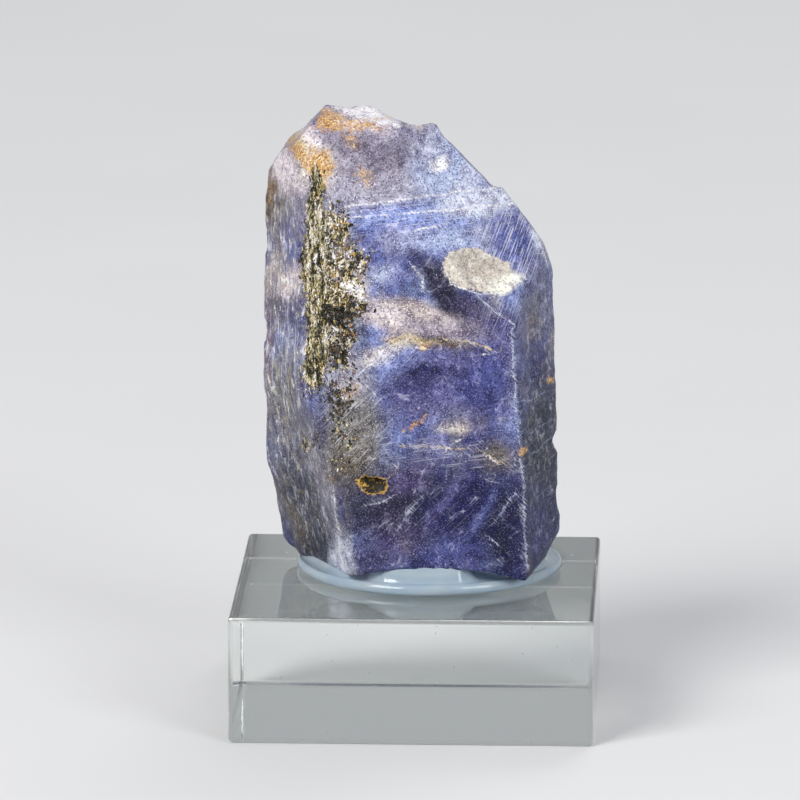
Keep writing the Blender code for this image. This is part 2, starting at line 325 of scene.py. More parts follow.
BOOK_RADII, BOOK_THICKNESSES, BOOK_SINKS = (0.55, 1.15), (0.7, 1.1), (-0.42, -0.14)
BOOK_LEAN, BOOK_SPIN = 20, 60
BOOK_NARROWING, BOOK_STRETCH = (0.6, 1.0), 1.25


def frame_on(point, out):
    """Matrix whose Z leaves the surface at a point in mm along out, with its X level."""
    out = Vector(out)
    across = Vector((-out.y, out.x, 0.0))
    across = across.normalized() if across.length > 0.001 else Vector((1.0, 0.0, 0.0))
    up = out.cross(across)
    return Matrix.Translation(Vector(point)) @ Matrix((across, up, out)).transposed().to_4x4()


def place_on(facet, across, up, roll=0.0):
    """Matrix standing on a named facet, at a distance in mm across and up it from the heart's foot."""
    turn, tip, reach = ALL_FACETS[facet]
    stand = frame_on(HEART + facing(turn, tip) * reach, facing(turn, tip))
    return stand @ Matrix.Translation((across, up, 0.0)) @ Matrix.Rotation(roll, 4, "Z")


def edge_between(first, second):
    """The line where two facets meet: its point nearest the heart, its direction, and the way out."""
    first_out, second_out = facing(*ALL_FACETS[first][:2]), facing(*ALL_FACETS[second][:2])
    first_reach, second_reach = ALL_FACETS[first][2], ALL_FACETS[second][2]
    along = np.cross(first_out, second_out)
    along /= np.linalg.norm(along)
    upright = abs(along[2]) > 0.5
    along = -along if along[2 if upright else 0] < 0 else along
    lean = first_out @ second_out
    nearest = HEART + (
        first_out * (first_reach - lean * second_reach) + second_out * (second_reach - lean * first_reach)
    ) / (1 - lean * lean)
    out = first_out + second_out
    return nearest, along, out / np.linalg.norm(out)


def bowl_matrix(place, size):
    """Turns a unit ball into the squashed ball whose cap cuts a scar of this size."""
    half_width, half_height, depth = size
    lift = SCAR_LIFT * depth
    radius = lift + depth
    spread = 1.0 / math.sqrt(1.0 - (lift / radius) ** 2)
    squash = Matrix.Diagonal((half_width * spread, half_height * spread, radius, 1.0))
    return place @ Matrix.Translation((0.0, 0.0, lift)) @ squash


def all_bowls():
    """One matrix for each scar, notch and edge chip."""
    bowls = []
    for facet, (across, up), size, roll in SCARS.values():
        bowls.append(bowl_matrix(place_on(facet, across, up, math.radians(roll)), size))
    for first, second, distance, size in NOTCHES.values():
        nearest, along, out = edge_between(first, second)
        bowls.append(bowl_matrix(frame_on(nearest + along * distance, out), size))
    draw = random.Random(CHIP_SEED)
    for first, second, start, end, count, widest in CHIPPED_EDGES.values():
        nearest, along, out = edge_between(first, second)
        for index in range(count):
            share = (index + 0.5 + draw.uniform(-CHIP_JITTER, CHIP_JITTER)) / count
            half = widest * draw.uniform(*CHIP_WIDTHS)
            size = (half, half * draw.uniform(*CHIP_LENGTHS), half * CHIP_DEPTH)
            spot = nearest + along * (start + (end - start) * share)
            bowls.append(bowl_matrix(frame_on(spot, out), size))
    return bowls


def mica_books():
    """For each mica book, the matrix of its tilted plate, its hexagon's radius and its thickness."""
    draw = random.Random(BOOK_SEED)
    books = []
    for _ in range(BOOK_COUNT):
        across = draw.uniform(-1, 1) * BOOK_SPREAD[0]
        up = draw.uniform(-1, 1) * BOOK_SPREAD[1]
        radius = draw.uniform(*BOOK_RADII)
        thickness = draw.uniform(*BOOK_THICKNESSES)
        sink = draw.uniform(*BOOK_SINKS)
        place = place_on("mica_bevel", *BOOK_MIDDLE) @ Matrix.Translation((across, up, sink))
        lean = Matrix.Rotation(math.radians(draw.uniform(-BOOK_LEAN, BOOK_LEAN)), 4, "X")
        yaw = Matrix.Rotation(math.radians(draw.uniform(-BOOK_LEAN, BOOK_LEAN)), 4, "Y")
        spin = Matrix.Rotation(math.radians(draw.uniform(0, BOOK_SPIN)), 4, "Z")
        stretch = Matrix.Diagonal((draw.uniform(*BOOK_NARROWING), BOOK_STRETCH, 1.0, 1.0))
        books.append((place @ lean @ yaw @ stretch @ spin, radius, thickness))
    return books


BOWLS = all_bowls()
BOOKS = mica_books()
print(len(BOWLS), "scars and chips,", len(BOOKS), "mica books")

# %% [markdown]
# ## The stone's skin
#
# The skin is a function of two numbers. The first goes round the stone, and the second from the
# middle of the foot, out and up the sides, and in to the top. Each pair gives a ray from an upright
# core inside the stone, and the point lies where the ray leaves the last growth block, less any scar
# that bites it, plus any mica book that stands out. More rays go to the front, which has the finest
# marks.

# %% Where rays from the core leave the stone
CORE_LOW, CORE_HIGH = 27.0, 49.0
RING_STEPS = 356
FOOT_RINGS, SIDE_RINGS, TOP_RINGS = 84, 92, 102
FRONT_CROWDING = 0.30
POLE_TILT = 89.4
EDGE_WEAR = 0.07
BOOK_WEAR = 0.03


def core_rays():
    """Origins and unit rays on a grid: tilted down below the core, level beside it, tilted up above."""
    turn = np.linspace(0, 2 * math.pi, RING_STEPS, endpoint=False)
    turn = turn + FRONT_CROWDING * np.cos(turn)
    foot_tilt = np.radians(np.linspace(-POLE_TILT, 0, FOOT_RINGS, endpoint=False))
    top_tilt = np.radians(np.linspace(0, POLE_TILT, TOP_RINGS))
    tilt = np.concatenate([foot_tilt, np.zeros(SIDE_RINGS), top_tilt])
    climb = np.linspace(CORE_LOW, CORE_HIGH, SIDE_RINGS, endpoint=False)
    height = np.concatenate([np.full(FOOT_RINGS, CORE_LOW), climb, np.full(TOP_RINGS, CORE_HIGH)])
    tilt, turn = np.meshgrid(tilt, turn, indexing="ij")
    rays = np.stack([np.cos(tilt) * np.cos(turn), np.cos(tilt) * np.sin(turn), np.sin(tilt)], axis=-1)
    origins = np.zeros_like(rays)
    origins[..., :2] = HEART[:2]
    origins[..., 2] = height[:, None]
    return origins, rays


def into(matrix, points, rays):
    """Points and rays in a matrix's own units."""
    back = np.array(matrix.inverted())
    return points @ back[:3, :3].T + back[:3, 3], rays @ back[:3, :3].T


def bite_bowl(reach, origins, rays, matrix):
    """Shorten rays that end inside a squashed ball to where they enter it."""
    start, step = into(matrix, origins, rays)
    square = (step * step).sum(axis=1)
    half = (start * step).sum(axis=1)
    inside = half * half - square * ((start * start).sum(axis=1) - 1)
    root = np.sqrt(np.maximum(inside, 0))
    enter, leave = (-half - root) / square, (-half + root) / square
    return np.where((inside > 0) & (enter < reach) & (reach < leave), enter, reach)


def add_book(reach, origins, rays, matrix, radius, thickness):
    """Lengthen rays that pass through a six-sided plate to where they leave it."""
    start, step = into(matrix, origins, rays)
    angles = np.radians(30 + 60 * np.arange(6))
    sides = np.stack([np.cos(angles), np.sin(angles), np.zeros(6)], axis=1)
    normals = np.concatenate([sides, [(0, 0, 1), (0, 0, -1)]])
    reaches = np.array([radius * math.cos(math.radians(30))] * 6 + [thickness / 2] * 2)
    return np.maximum(reach, leave_convex(start, step, normals, reaches, BOOK_WEAR))


def whole_reach(origins, rays):
    """How far rays run to the far side of the furthest growth block, as if nothing had broken off."""
    return np.max([block_reach(origins, rays, name, EDGE_WEAR) for name in GROWTH_BLOCKS], axis=0)


def stone_reach(origins, rays):
    """How far rays run inside the stone: the furthest block, less the bowls, plus the books."""
    reach = whole_reach(origins, rays)
    for matrix in BOWLS:
        reach = bite_bowl(reach, origins, rays, matrix)
    for matrix, radius, thickness in BOOKS:
        reach = add_book(reach, origins, rays, matrix, radius, thickness)
    return reach


core_points, core_steps = core_rays()
flat_points, flat_steps = core_points.reshape(-1, 3), core_steps.reshape(-1, 3)
plain_reach = stone_reach(flat_points, flat_steps).reshape(core_points.shape[:2])
scar_depth = whole_reach(flat_points, flat_steps).reshape(plain_reach.shape) - plain_reach
plain_skin = core_points + core_steps * plain_reach[..., None]
print("plain skin mm", plain_skin.min(axis=(0, 1)).round(2), "to", plain_skin.max(axis=(0, 1)).round(2))


def grid_normals(skin):
    """Unit vectors that point out of a grid of rings: the cross product of its two slopes."""
    around = np.roll(skin, -1, axis=1) - np.roll(skin, 1, axis=1)
    upward = np.gradient(skin, axis=0)
    out = np.cross(around, upward)
    return out / np.maximum(np.linalg.norm(out, axis=-1, keepdims=True), 1e-9)


# %% [markdown]
# ## A sheet of tracing paper
#
# The marks on the front were laid out on a sheet held square to the viewer: millimetres across and
# up from the middle of the picture, at the stone's distance. Each mark goes straight back from the
# sheet onto the stone. The camera stands where the photograph's did, far away with a long lens,
# about thirteen degrees above the level and a little to the right.

# %% The viewer and the tracing sheet
VIEW_TURN, VIEW_RISE = math.radians(2.34), math.radians(12.68)
VIEW_DISTANCE = 942.0
VIEW_SHIFT, VIEW_HEIGHT = -1.86, 32.56
SENSOR_WIDTH = 36.0
LENS = 402.2
view_right = np.array((math.cos(VIEW_TURN), math.sin(VIEW_TURN), 0.0))
view_front = np.array((math.sin(VIEW_TURN), -math.cos(VIEW_TURN), 0.0))
view_back = view_front * math.cos(VIEW_RISE) + np.array((0.0, 0.0, math.sin(VIEW_RISE)))
view_up = np.cross(view_back, view_right)
view_middle = view_right * VIEW_SHIFT + np.array((0.0, 0.0, VIEW_HEIGHT))
viewer = view_middle + view_back * VIEW_DISTANCE


def on_sheet(points):
    """Millimetres across and up the tracing sheet where the viewer sees each point."""
    offset = points - viewer
    scale = VIEW_DISTANCE / -(offset @ view_back)
    return np.stack([(offset @ view_right) * scale, (offset @ view_up) * scale], axis=-1)


camera_data = bpy.data.cameras.new("camera")
camera_data.sensor_width = SENSOR_WIDTH
camera_data.lens = LENS
camera = bpy.data.objects.new("camera", camera_data)
bpy.context.scene.collection.objects.link(camera)
camera_turn = Matrix((view_right, view_up, view_back)).transposed().to_4x4()
camera.matrix_world = Matrix.Translation(Vector(viewer * MM)) @ camera_turn
bpy.context.scene.camera = camera
print("viewer at mm", viewer.round(1))

# %% [markdown]
# ## The palette
#
# All the stone's colours come from one short palette, named as a painter would name them. They are
# written as screen colours from 0 to 255, because that is how one sees them, and turned into the
# linear light values that materials reckon with.

# %% The palette


def paint(red, green, blue):
    """A screen colour from 0 to 255 as the linear light values that materials use."""
    screen = np.array((red, green, blue)) / 255
    return np.where(screen <= 0.04045, screen / 12.92, ((screen + 0.055) / 1.055) ** 2.4)


PALETTE = {
    "indigo": paint(44, 48, 110),
    "deep_indigo": paint(14, 18, 78),
    "midnight": paint(8, 12, 60),
    "night": paint(28, 25, 56),
    "blue": paint(84, 94, 158),
    "violet": paint(84, 80, 134),
    "dusk": paint(54, 46, 82),
    "purple": paint(92, 78, 128),
    "periwinkle": paint(136, 152, 210),
    "pale_blue": paint(176, 188, 226),
    "ice": paint(214, 222, 242),
    "snow": paint(246, 244, 244),
    "frost": paint(224, 224, 236),
    "chalk": paint(230, 226, 230),
    "lavender_grey": paint(144, 137, 152),
    "silver_grey": paint(168, 166, 182),
    "slate": paint(62, 68, 88),
    "gloom": paint(30, 36, 62),
    "haze_blue": paint(98, 102, 140),
    "ash": paint(116, 112, 100),
    "umber": paint(88, 78, 60),
    "pink_white": paint(233, 219, 221),
    "cream": paint(212, 202, 188),
    "rose_cream": paint(206, 190, 182),
    "lemon": paint(255, 253, 232),
    "straw": paint(222, 196, 142),
    "gold": paint(212, 166, 78),
    "rust": paint(160, 98, 40),
    "bark": paint(128, 92, 60),
    "moss": paint(52, 44, 22),
    "ink": paint(18, 17, 12),
    "olive": paint(58, 54, 32),
    "bronze": paint(128, 116, 66),
    "khaki": paint(190, 178, 126),
    "walnut": paint(74, 50, 28),
    "honey": paint(84, 64, 10),
}
print(len(PALETTE), "colours mixed")

# %% [markdown]
# ## Zones of colour
#
# The colour of corundum follows how it grew, so it lies in soft-edged zones: indigo and violet
# inside, grey-lavender on the crown, pale periwinkle under the ledges, cream where a surface broke.
# The zones are partly painted light too: darker towards the foot and on the right side as painted
# shade, and paler on the crest, the left shoulder and the right chamfer as painted highlight.
# Each zone is a tilted oval with a wavering edge, painted over those before it, and each point of
# the mesh stores the colour. The far sides get broad noise zones with the same colours.

# %% The painted zones

# A zone is its colour, (across, up) of its middle on the sheet and its half sizes in mm, its tilt in
# degrees, how strongly it covers what lies under it, and how soft its edge is. Softness 0 is crisp.
ZONES = {
    "crown": ("lavender_grey", (-3.7, 24.6), (5.4, 5.2), 0, 1.0, 0.5),
    "crown_low": ("silver_grey", (-3.0, 22.2), (6.2, 1.6), 4, 0.7, 0.6),
    "crown_shadow": ("dusk", (-3.0, 26.6), (3.2, 1.1), -6, 0.45, 0.7),
    "crown_blue": ("pale_blue", (5.6, 25.0), (3.9, 4.6), -32, 0.9, 0.35),
    "crown_edge": ("silver_grey", (3.0, 27.2), (1.4, 2.2), -20, 0.6, 0.7),
    "crown_slope": ("ice", (8.0, 24.6), (1.0, 4.4), -38, 0.6, 0.6),
    "crest_under": ("pink_white", (-4.6, 29.4), (3.4, 1.0), -8, 0.6, 0.6),
    "ridge": ("pink_white", (-9.2, 27.4), (0.8, 4.2), 30, 0.9, 0.5),
    "ridge_cream": ("straw", (-9.8, 26.0), (0.7, 3.4), 30, 0.75, 0.7),
    # Painted highlight in part: the pale left shoulder
    "pink_shoulder": ("pink_white", (-12.2, 23.8), (1.7, 2.7), 20, 0.95, 0.5),
    "shoulder_cream": ("cream", (-8.8, 24.6), (1.9, 2.4), 10, 0.8, 0.6),
    "brown_veil": ("dusk", (-12.8, 19.0), (1.0, 2.6), -15, 0.5, 0.8),
    "left_top": ("lavender_grey", (-11.9, 18.4), (2.2, 3.4), 0, 0.7, 0.6),
    "left_dust": ("ash", (-12.4, 18.8), (1.2, 3.0), 0, 0.55, 0.8),
    "left_blue": ("blue", (-11.5, 16.2), (1.3, 3.0), 5, 0.7, 0.6),
    "brown_edge": ("walnut", (-14.2, 21.6), (1.4, 3.0), 0, 1.0, 0.4),
    "left_cream": ("pink_white", (-11.6, 12.4), (1.2, 2.1), -30, 1.0, 0.5),
    "left_navy": ("indigo", (-11.2, 9.2), (1.5, 2.0), 0, 0.7, 0.7),
    "left_grey": ("cream", (-13.2, 13.6), (0.7, 2.2), -10, 0.6, 0.7),
    "left_spot": ("night", (-12.9, 10.2), (0.5, 1.4), 0, 0.6, 0.7),
    "left_glow": ("periwinkle", (-11.8, 5.4), (1.4, 2.0), 0, 0.85, 0.8),
    "left_pale": ("ash", (-12.2, 2.6), (1.8, 4.4), -8, 0.6, 0.7),
    "left_straw": ("bark", (-13.9, 5.0), (0.4, 8.5), 0, 0.5, 0.7),
    "left_slate": ("ash", (-10.9, -4.0), (2.6, 5.0), 25, 0.6, 0.7),
    # Painted shade in part: the left foot's zone is darker low down, as if lit from above
    "left_low": ("gloom", (-9.3, -12.6), (2.8, 6.8), 22, 1.0, 0.5),
    "left_low_straw": ("umber", (-11.2, -12.0), (0.6, 4.4), 22, 0.5, 0.7),
    "left_low_frost": ("silver_grey", (-7.9, -10.0), (0.8, 5.0), 14, 0.4, 0.8),
    "periwinkle_band": ("periwinkle", (1.2, 18.8), (6.8, 1.9), 4, 0.95, 0.45),
    "band_blue": ("blue", (-0.6, 17.5), (4.6, 0.8), 6, 0.6, 0.7),
    "band_white": ("ice", (8.6, 20.8), (4.4, 1.5), 4, 0.9, 0.5),
    "upper_blue": ("blue", (0.4, 15.8), (5.6, 2.6), 0, 0.85, 0.6),
    "upper_pale": ("silver_grey", (-0.2, 16.6), (2.2, 1.5), 0, 0.6, 0.8),
    "upper_deep": ("indigo", (0.8, 14.6), (2.2, 1.5), -20, 0.55, 0.8),
    "upper_frost": ("pale_blue", (4.4, 16.8), (4.6, 1.2), 2, 0.7, 0.7),
    "upper_ice": ("ice", (-2.0, 13.2), (1.6, 0.9), 20, 0.5, 0.8),
    "scratched": ("blue", (12.2, 17.0), (2.5, 3.4), 12, 0.9, 0.5),
    "scratched_deep": ("indigo", (12.6, 17.6), (1.5, 2.2), 12, 0.3, 0.8),
    # Painted highlight in part: the icy right chamfer
    "chamfer": ("ice", (14.8, 16.3), (0.55, 2.5), 24, 0.9, 0.5),
    # Painted shade in part: the dark diagonal band on the facet below the chamfer, in these two zones
    "diagonal": ("night", (4.6, 11.6), (4.4, 1.5), -54, 1.0, 0.45),
    "diagonal_low": ("dusk", (8.6, 8.8), (3.4, 1.9), -24, 0.9, 0.6),
    "violet_right": ("violet", (10.2, 6.8), (2.6, 2.4), -20, 0.8, 0.7),
    "lens": ("rose_cream", (1.0, 8.5), (6.0, 1.9), -14, 0.9, 0.4),
    "lens_rose": ("lavender_grey", (2.6, 7.4), (3.4, 0.8), -14, 0.75, 0.6),
    "lens_bright": ("pink_white", (-1.4, 9.3), (2.0, 0.9), -16, 0.7, 0.6),
    "lens_tail": ("lavender_grey", (6.4, 7.4), (3.0, 1.0), -12, 0.7, 0.7),
    "lens_umber": ("umber", (4.0, 5.8), (4.4, 0.8), -5, 1.0, 0.6),
    "lens_straw": ("straw", (0.8, 6.2), (2.6, 0.5), -8, 0.6, 0.5),
    "fracture_pale": ("cream", (-1.6, 4.9), (2.6, 0.8), 26, 0.85, 0.6),
    "under_lens": ("violet", (6.2, 4.2), (4.6, 1.2), -3, 0.6, 0.7),
    "hollow_light": ("periwinkle", (0.2, 3.2), (2.4, 2.0), 0, 0.75, 0.8),
    "hollow": ("violet", (2.6, 1.2), (4.8, 3.4), 12, 0.85, 0.5),
    "hollow_deep": ("deep_indigo", (2.2, 2.2), (3.2, 1.5), 10, 0.7, 0.7),
    "hollow_low": ("dusk", (0.4, -1.4), (2.4, 1.4), 20, 0.25, 0.8),
    "grey": ("ash", (-4.9, -3.4), (2.9, 6.4), 6, 0.88, 0.5),
    "grey_high": ("silver_grey", (-5.4, 2.6), (2.2, 2.6), 20, 0.7, 0.7),
    "grey_low": ("umber", (-5.2, -7.2), (2.2, 2.0), 0, 0.85, 0.8),
    "bubble_left": ("deep_indigo", (1.6, 3.0), (0.5, 0.55), 0, 0.9, 0.5),
    "bubble_mid": ("deep_indigo", (2.7, 3.6), (0.6, 0.6), 0, 0.9, 0.5),
    "bubble_right": ("deep_indigo", (3.9, 2.9), (0.55, 0.6), 0, 0.9, 0.5),
    "deep_right": ("indigo", (9.2, 1.4), (2.9, 3.8), 0, 0.9, 0.5),
    "deep_right_glow": ("blue", (9.4, 2.6), (1.6, 2.2), 0, 0.4, 0.9),
    "haze_high": ("haze_blue", (5.2, -1.4), (2.8, 0.9), -12, 0.5, 0.9),
    "haze": ("haze_blue", (5.6, -6.2), (4.6, 1.3), -8, 0.6, 0.8),
    "haze_brown": ("umber", (10.2, -6.2), (2.0, 2.0), 0, 0.9, 0.7),
    # Painted shade in part: the low front zones below are darker towards the foot, as if lit from above
    "violet_low": ("night", (0.8, -11.4), (4.4, 4.6), 0, 1.0, 0.6),
    "purple_glow": ("purple", (0.6, -8.6), (2.4, 1.3), 28, 0.6, 0.8),
    "purple_low": ("purple", (-0.6, -15.0), (2.6, 2.2), 0, 0.5, 0.8),
    "low_brown": ("night", (-3.6, -12.0), (2.6, 2.6), 10, 0.75, 0.7),
    "deep_low": ("deep_indigo", (7.2, -11.6), (5.2, 4.4), 20, 1.0, 0.5),
    "low_right": ("midnight", (11.0, -14.0), (2.4, 5.0), 0, 1.0, 0.6),
    "low_band": ("violet", (4.4, -10.8), (4.6, 0.6), 55, 0.7, 0.7),
    "low_band_right": ("blue", (8.4, -12.4), (3.6, 0.5), 58, 0.5, 0.8),
    "low_haze": ("blue", (4.6, -15.8), (2.6, 1.3), 0, 0.5, 0.8),
    "low_left": ("dusk", (-3.0, -17.0), (2.4, 1.6), -8, 0.7, 0.8),
    "corner_frost": ("ice", (-6.1, -17.0), (1.1, 2.1), 4, 0.9, 0.6),
    # Painted shade in part: the right side's zones below are darker, as on a side turned from the light
    "right_high": ("haze_blue", (14.8, 10.6), (1.7, 6.0), -4, 0.9, 0.6),
    "right_veil": ("ash", (14.0, 8.6), (1.0, 2.6), -8, 0.4, 0.8),
    "right_navy": ("indigo", (14.9, 2.4), (1.8, 3.8), 0, 0.8, 0.7),
    "right_low": ("gloom", (15.0, -8.0), (2.3, 11.0), 0, 1.0, 0.4),
    "right_deep": ("indigo", (14.6, -13.0), (1.6, 4.0), 0, 0.6, 0.8),
    "chunk_bed": ("ash", (-6.0, 12.6), (2.2, 6.2), 4, 0.85, 0.5),
    "chunk_cream": ("cream", (-5.0, 12.0), (1.6, 1.6), 20, 0.7, 0.7),
    "bevel_bed": ("moss", (-8.9, 13.0), (1.2, 9.0), 1, 0.7, 0.5),
    # Painted highlight in part: the chalk-white crest
    "crest": ("chalk", (-3.0, 30.3), (3.8, 0.8), -12, 1.0, 0),
    "oval": ("cream", (8.3, 13.6), (3.9, 2.25), -12, 1.0, 0),
    "oval_shade": ("umber", (8.9, 13.9), (2.6, 1.1), -12, 0.3, 0.9),
    "oval_lip": ("lemon", (11.2, 12.2), (1.9, 0.9), 20, 1.0, 0.4),
    "pocket_shadow": ("night", (-3.4, -9.4), (2.4, 1.5), -8, 0.6, 0.7),
    "white_chip": ("snow", (4.1, 24.8), (1.1, 0.8), 20, 0.85, 0.5),
}
print(len(ZONES), "zones listed")

# %% [markdown]
# ## Painting the zones
#
# Each zone is laid over the last with the strength that the table gives. Two ovals have crisp edges,
# finer than the mesh can hold as colour. For them the mesh stores a second canvas and how far each
# point lies inside the edge, so that the material can cut it sharply. The tracing sheet speaks only
# for what the viewer sees, so every cover fades where the surface turns away.

# %% Paint the stone
EDGE_REACH = 0.9
FAR_SIDE = 3.0


def tilted(sheet, middle, tilt):
    """Sheet places measured from a middle, along and across a direction tilted from level."""
    angle = math.radians(tilt)
    offset = sheet - np.array(middle)
    along = offset @ np.array((math.cos(angle), math.sin(angle)))
    aside = offset @ np.array((-math.sin(angle), math.cos(angle)))
    return along, aside


def oval_cover(sheet, middle, half, tilt, softness):
    """1 inside a tilted oval and 0 outside it, with an edge as wide as the softness."""
    along, aside = tilted(sheet, middle, tilt)
    distance = np.hypot(along / half[0], aside / half[1])
    return 1 - smooth_step(1 - softness, 1 + softness, distance)


def depth_inside(sheet, middle, half, tilt):
    """How many mm each point lies inside a tilted oval, negative outside it."""
    along, aside = tilted(sheet, middle, tilt)
    return (1 - np.hypot(along / half[0], aside / half[1])) * min(half)


def ground_colour(skin):
    """Broad zones for the whole stone: deep low down, paler towards the top as partly painted light, fresh
    in the scars.
    """
    upright = np.stack([skin[..., 0], skin[..., 1], skin[..., 2] * 0.3], axis=-1)
    height = (skin[..., 2] - stone_box[0, 2]) / (stone_box[1, 2] - stone_box[0, 2])
    # Darker towards the foot and paler towards the top: partly painted shade and light from above
    depth = layered_noise(skin, 8.0, 3) * 0.8 + layered_noise(upright, 2.4, 7) * 0.7 - (height - 0.5)
    colour = PALETTE["periwinkle"] * 0.8 + np.zeros(skin.shape)
    painted_top_light = (height - 0.6) * 0.6
    layers = (
        ("indigo", smooth_step(-0.45, 0.5, depth)),
        ("lavender_grey", 0.8 * smooth_step(-0.15, 0.35, layered_noise(skin, 6.0, 21) + painted_top_light)),
        ("violet", 0.5 * smooth_step(0.05, 0.5, layered_noise(skin, 5.0, 31))),
        ("slate", 0.6 * smooth_step(0.05, 0.4, layered_noise(upright, 4.5, 36))),
        ("ash", 0.7 * smooth_step(0.15, 0.5, layered_noise(upright, 3.6, 46))),
        ("cream", 0.75 * smooth_step(0.28, 0.6, layered_noise(skin, 4.0, 41))),
        ("haze_blue", 0.5 * smooth_step(0.03, 0.12, scar_depth)),
        ("periwinkle", 0.4 * smooth_step(0.25, 0.7, scar_depth)),
    )
    for tone, cover in layers:
        colour = colour * (1 - cover[..., None]) + PALETTE[tone] * cover[..., None]
    return colour


def paint_zones(skin, sheet, facing_viewer):
    """The ground colour with the soft zones painted over it in turn, and a second canvas for the crisp.

    A crisp zone covers the second canvas beyond its edge, and the third result is how many mm each
    point lies inside the nearest one, so that the material can cut its edge sharply.
    """
    colour = ground_colour(skin)
    crisp = colour.copy()
    inside = np.full(skin.shape[:-1], -EDGE_REACH)
    for tone, middle, half, tilt, strength, softness in ZONES.values():
        if softness:
            cover = (oval_cover(sheet, middle, half, tilt, softness) * strength * facing_viewer)[..., None]
            colour = colour * (1 - cover) + PALETTE[tone] * cover
            crisp = crisp * (1 - cover) + PALETTE[tone] * cover
        else:
            depth = depth_inside(sheet, middle, half, tilt) - FAR_SIDE * (1 - facing_viewer)
            crisp = np.where((depth > inside)[..., None], PALETTE[tone], crisp)
            inside = np.maximum(inside, depth)
    return colour, crisp, inside


plain_normals = grid_normals(plain_skin)
seen = smooth_step(-0.05, 0.18, plain_normals @ view_back)
waver = np.stack([layered_noise(plain_skin, 1.6, 50), layered_noise(plain_skin, 1.6, 60)], axis=-1)
sheet_places = on_sheet(plain_skin)
wavering_places = sheet_places + waver * 0.6
stone_colour, crisp_colour, crisp_side = paint_zones(plain_skin, wavering_places, seen)
print(len(ZONES), "zones painted; mean colour", stone_colour.mean(axis=(0, 1)).round(3))

# %% [markdown]
# ## Threads, cracks and growth lines
#
# The bright lines on the stone are thinner than the mesh can hold as colour. So the mesh stores
# something smoother: on which side of the nearest line each point lies, and how far. The material
# draws the line where that signed distance is near nought, and it comes out sharp at any width.
# Lines that cross or run close together are kept in two layers.

# %% The lines and their signed distance

# A line is its colour, its strength, and its points (across, up) on the sheet in mm.
# Painted highlight in part: the snow and ice lines along ledges and ridges stand for light on those edges
GROWTH_LINES = {
    "ledge_high": ("snow", 1.0, [(-5.8, 20.3), (0.0, 21.1), (5.3, 21.8), (10.5, 22.5)]),
    "ledge_mid": ("snow", 1.0, [(-5.1, 19.2), (0.0, 19.6), (4.2, 19.9), (7.9, 20.4), (13.0, 20.7)]),
    "ledge_low": ("snow", 0.9, [(0.5, 17.7), (3.2, 18.2), (5.1, 18.6)]),
    "crest_gold": ("gold", 0.9, [(-5.8, 29.1), (-3.7, 29.6), (-0.7, 29.8)]),
    "crescent": ("snow", 0.8, [(1.3, 14.1), (2.3, 13.0), (2.5, 11.6)]),
    "right_crack": ("ice", 0.9, [(8.1, 10.8), (10.0, 9.4), (11.7, 8.1)]),
    "lens_thread": ("straw", 0.9, [(4.8, 6.4), (6.3, 6.3), (8.2, 5.9), (9.9, 5.2)]),
    "fracture": ("snow", 0.75, [(-4.0, 3.0), (-2.1, 4.5), (0.0, 5.6), (2.6, 5.4)]),
    "right_ridge": (
        "ice",
        0.65,
        [(11.8, 7.4), (12.1, 2.1), (12.4, -2.1), (12.8, -7.4), (13.1, -12.6), (13.3, -17.0)],
    ),
    "haze_arc": ("straw", 0.6, [(0.0, -4.8), (4.2, -5.0), (8.4, -5.2), (10.2, -6.5), (11.6, -7.0)]),
    "pale_thread": ("ice", 0.6, [(-3.5, -11.2), (-2.1, -10.8), (-0.9, -10.2)]),
    "low_streak": ("pale_blue", 0.6, [(-0.3, -13.7), (0.8, -12.0), (2.2, -10.3)]),
    "low_streak_right": ("pale_blue", 0.55, [(9.9, -12.8), (10.9, -11.6), (11.8, -10.2)]),
    "corner_ridge": ("snow", 0.8, [(-6.9, -9.5), (-6.6, -13.0), (-6.1, -17.0), (-5.9, -19.0)]),
}
CRACK_LINES = {
    "crown_crease": ("pale_blue", 0.5, [(1.4, 29.7), (1.9, 26.4), (2.2, 24.2), (1.8, 22.6)]),
    "fracture_twin": ("cream", 0.6, [(-3.4, 4.0), (-1.6, 5.9), (0.2, 6.9)]),
    "lens_tick": ("snow", 0.9, [(7.6, 4.6), (9.1, 4.8)]),
    "haze_crack": ("snow", 0.8, [(4.8, -5.3), (5.8, -4.4), (6.4, -4.2)]),
    "haze_bright": ("snow", 0.8, [(9.4, -6.1), (10.2, -6.6)]),
    "pocket_thread": ("straw", 0.5, [(-1.5, -8.6), (-0.4, -7.3)]),
    "low_tick": ("ice", 0.8, [(9.4, -14.5), (10.4, -15.3)]),
    "oval_rim": ("snow", 0.8, [(4.5, 14.4), (5.3, 12.3), (8.2, 11.1), (11.1, 11.3), (12.5, 12.7)]),
    "right_thread_high": ("pale_blue", 0.6, [(11.6, -0.3), (13.6, 0.0), (15.4, 0.9)]),
    "right_thread_mid": ("pale_blue", 0.6, [(14.0, -3.4), (16.0, -2.0)]),
    "right_thread_low": ("pale_blue", 0.5, [(13.8, -5.8), (16.1, -3.9)]),
    # Painted highlight in part: the bright chamfer edge
    "chamfer_edge": ("snow", 0.7, [(12.6, 20.3), (14.0, 18.4), (15.0, 15.8), (15.5, 14.4)]),
    "left_crack": ("cream", 0.5, [(-13.4, 0.4), (-12.2, -3.6), (-10.4, -7.4)]),
}
LINE_REACH = 1.0
LINE_FADE = 0.45


def signed_distance(sheet, route):
    """Distance in mm from a route of straight pieces, positive on its left, and the same unsigned."""
    best = np.full(sheet.shape[:-1], np.inf)
    side = np.ones(sheet.shape[:-1])
    for start, end in zip(np.array(route[:-1]), np.array(route[1:])):
        step = end - start
        share = np.clip(((sheet - start) @ step) / (step @ step), 0, 1)
        offset = sheet - start - share[..., None] * step
        distance = np.linalg.norm(offset, axis=-1)
        nearer = distance < best
        best = np.where(nearer, distance, best)
        left = step[0] * offset[..., 1] - step[1] * offset[..., 0]
        side = np.where(nearer, np.sign(left), side)
    return best * side, best


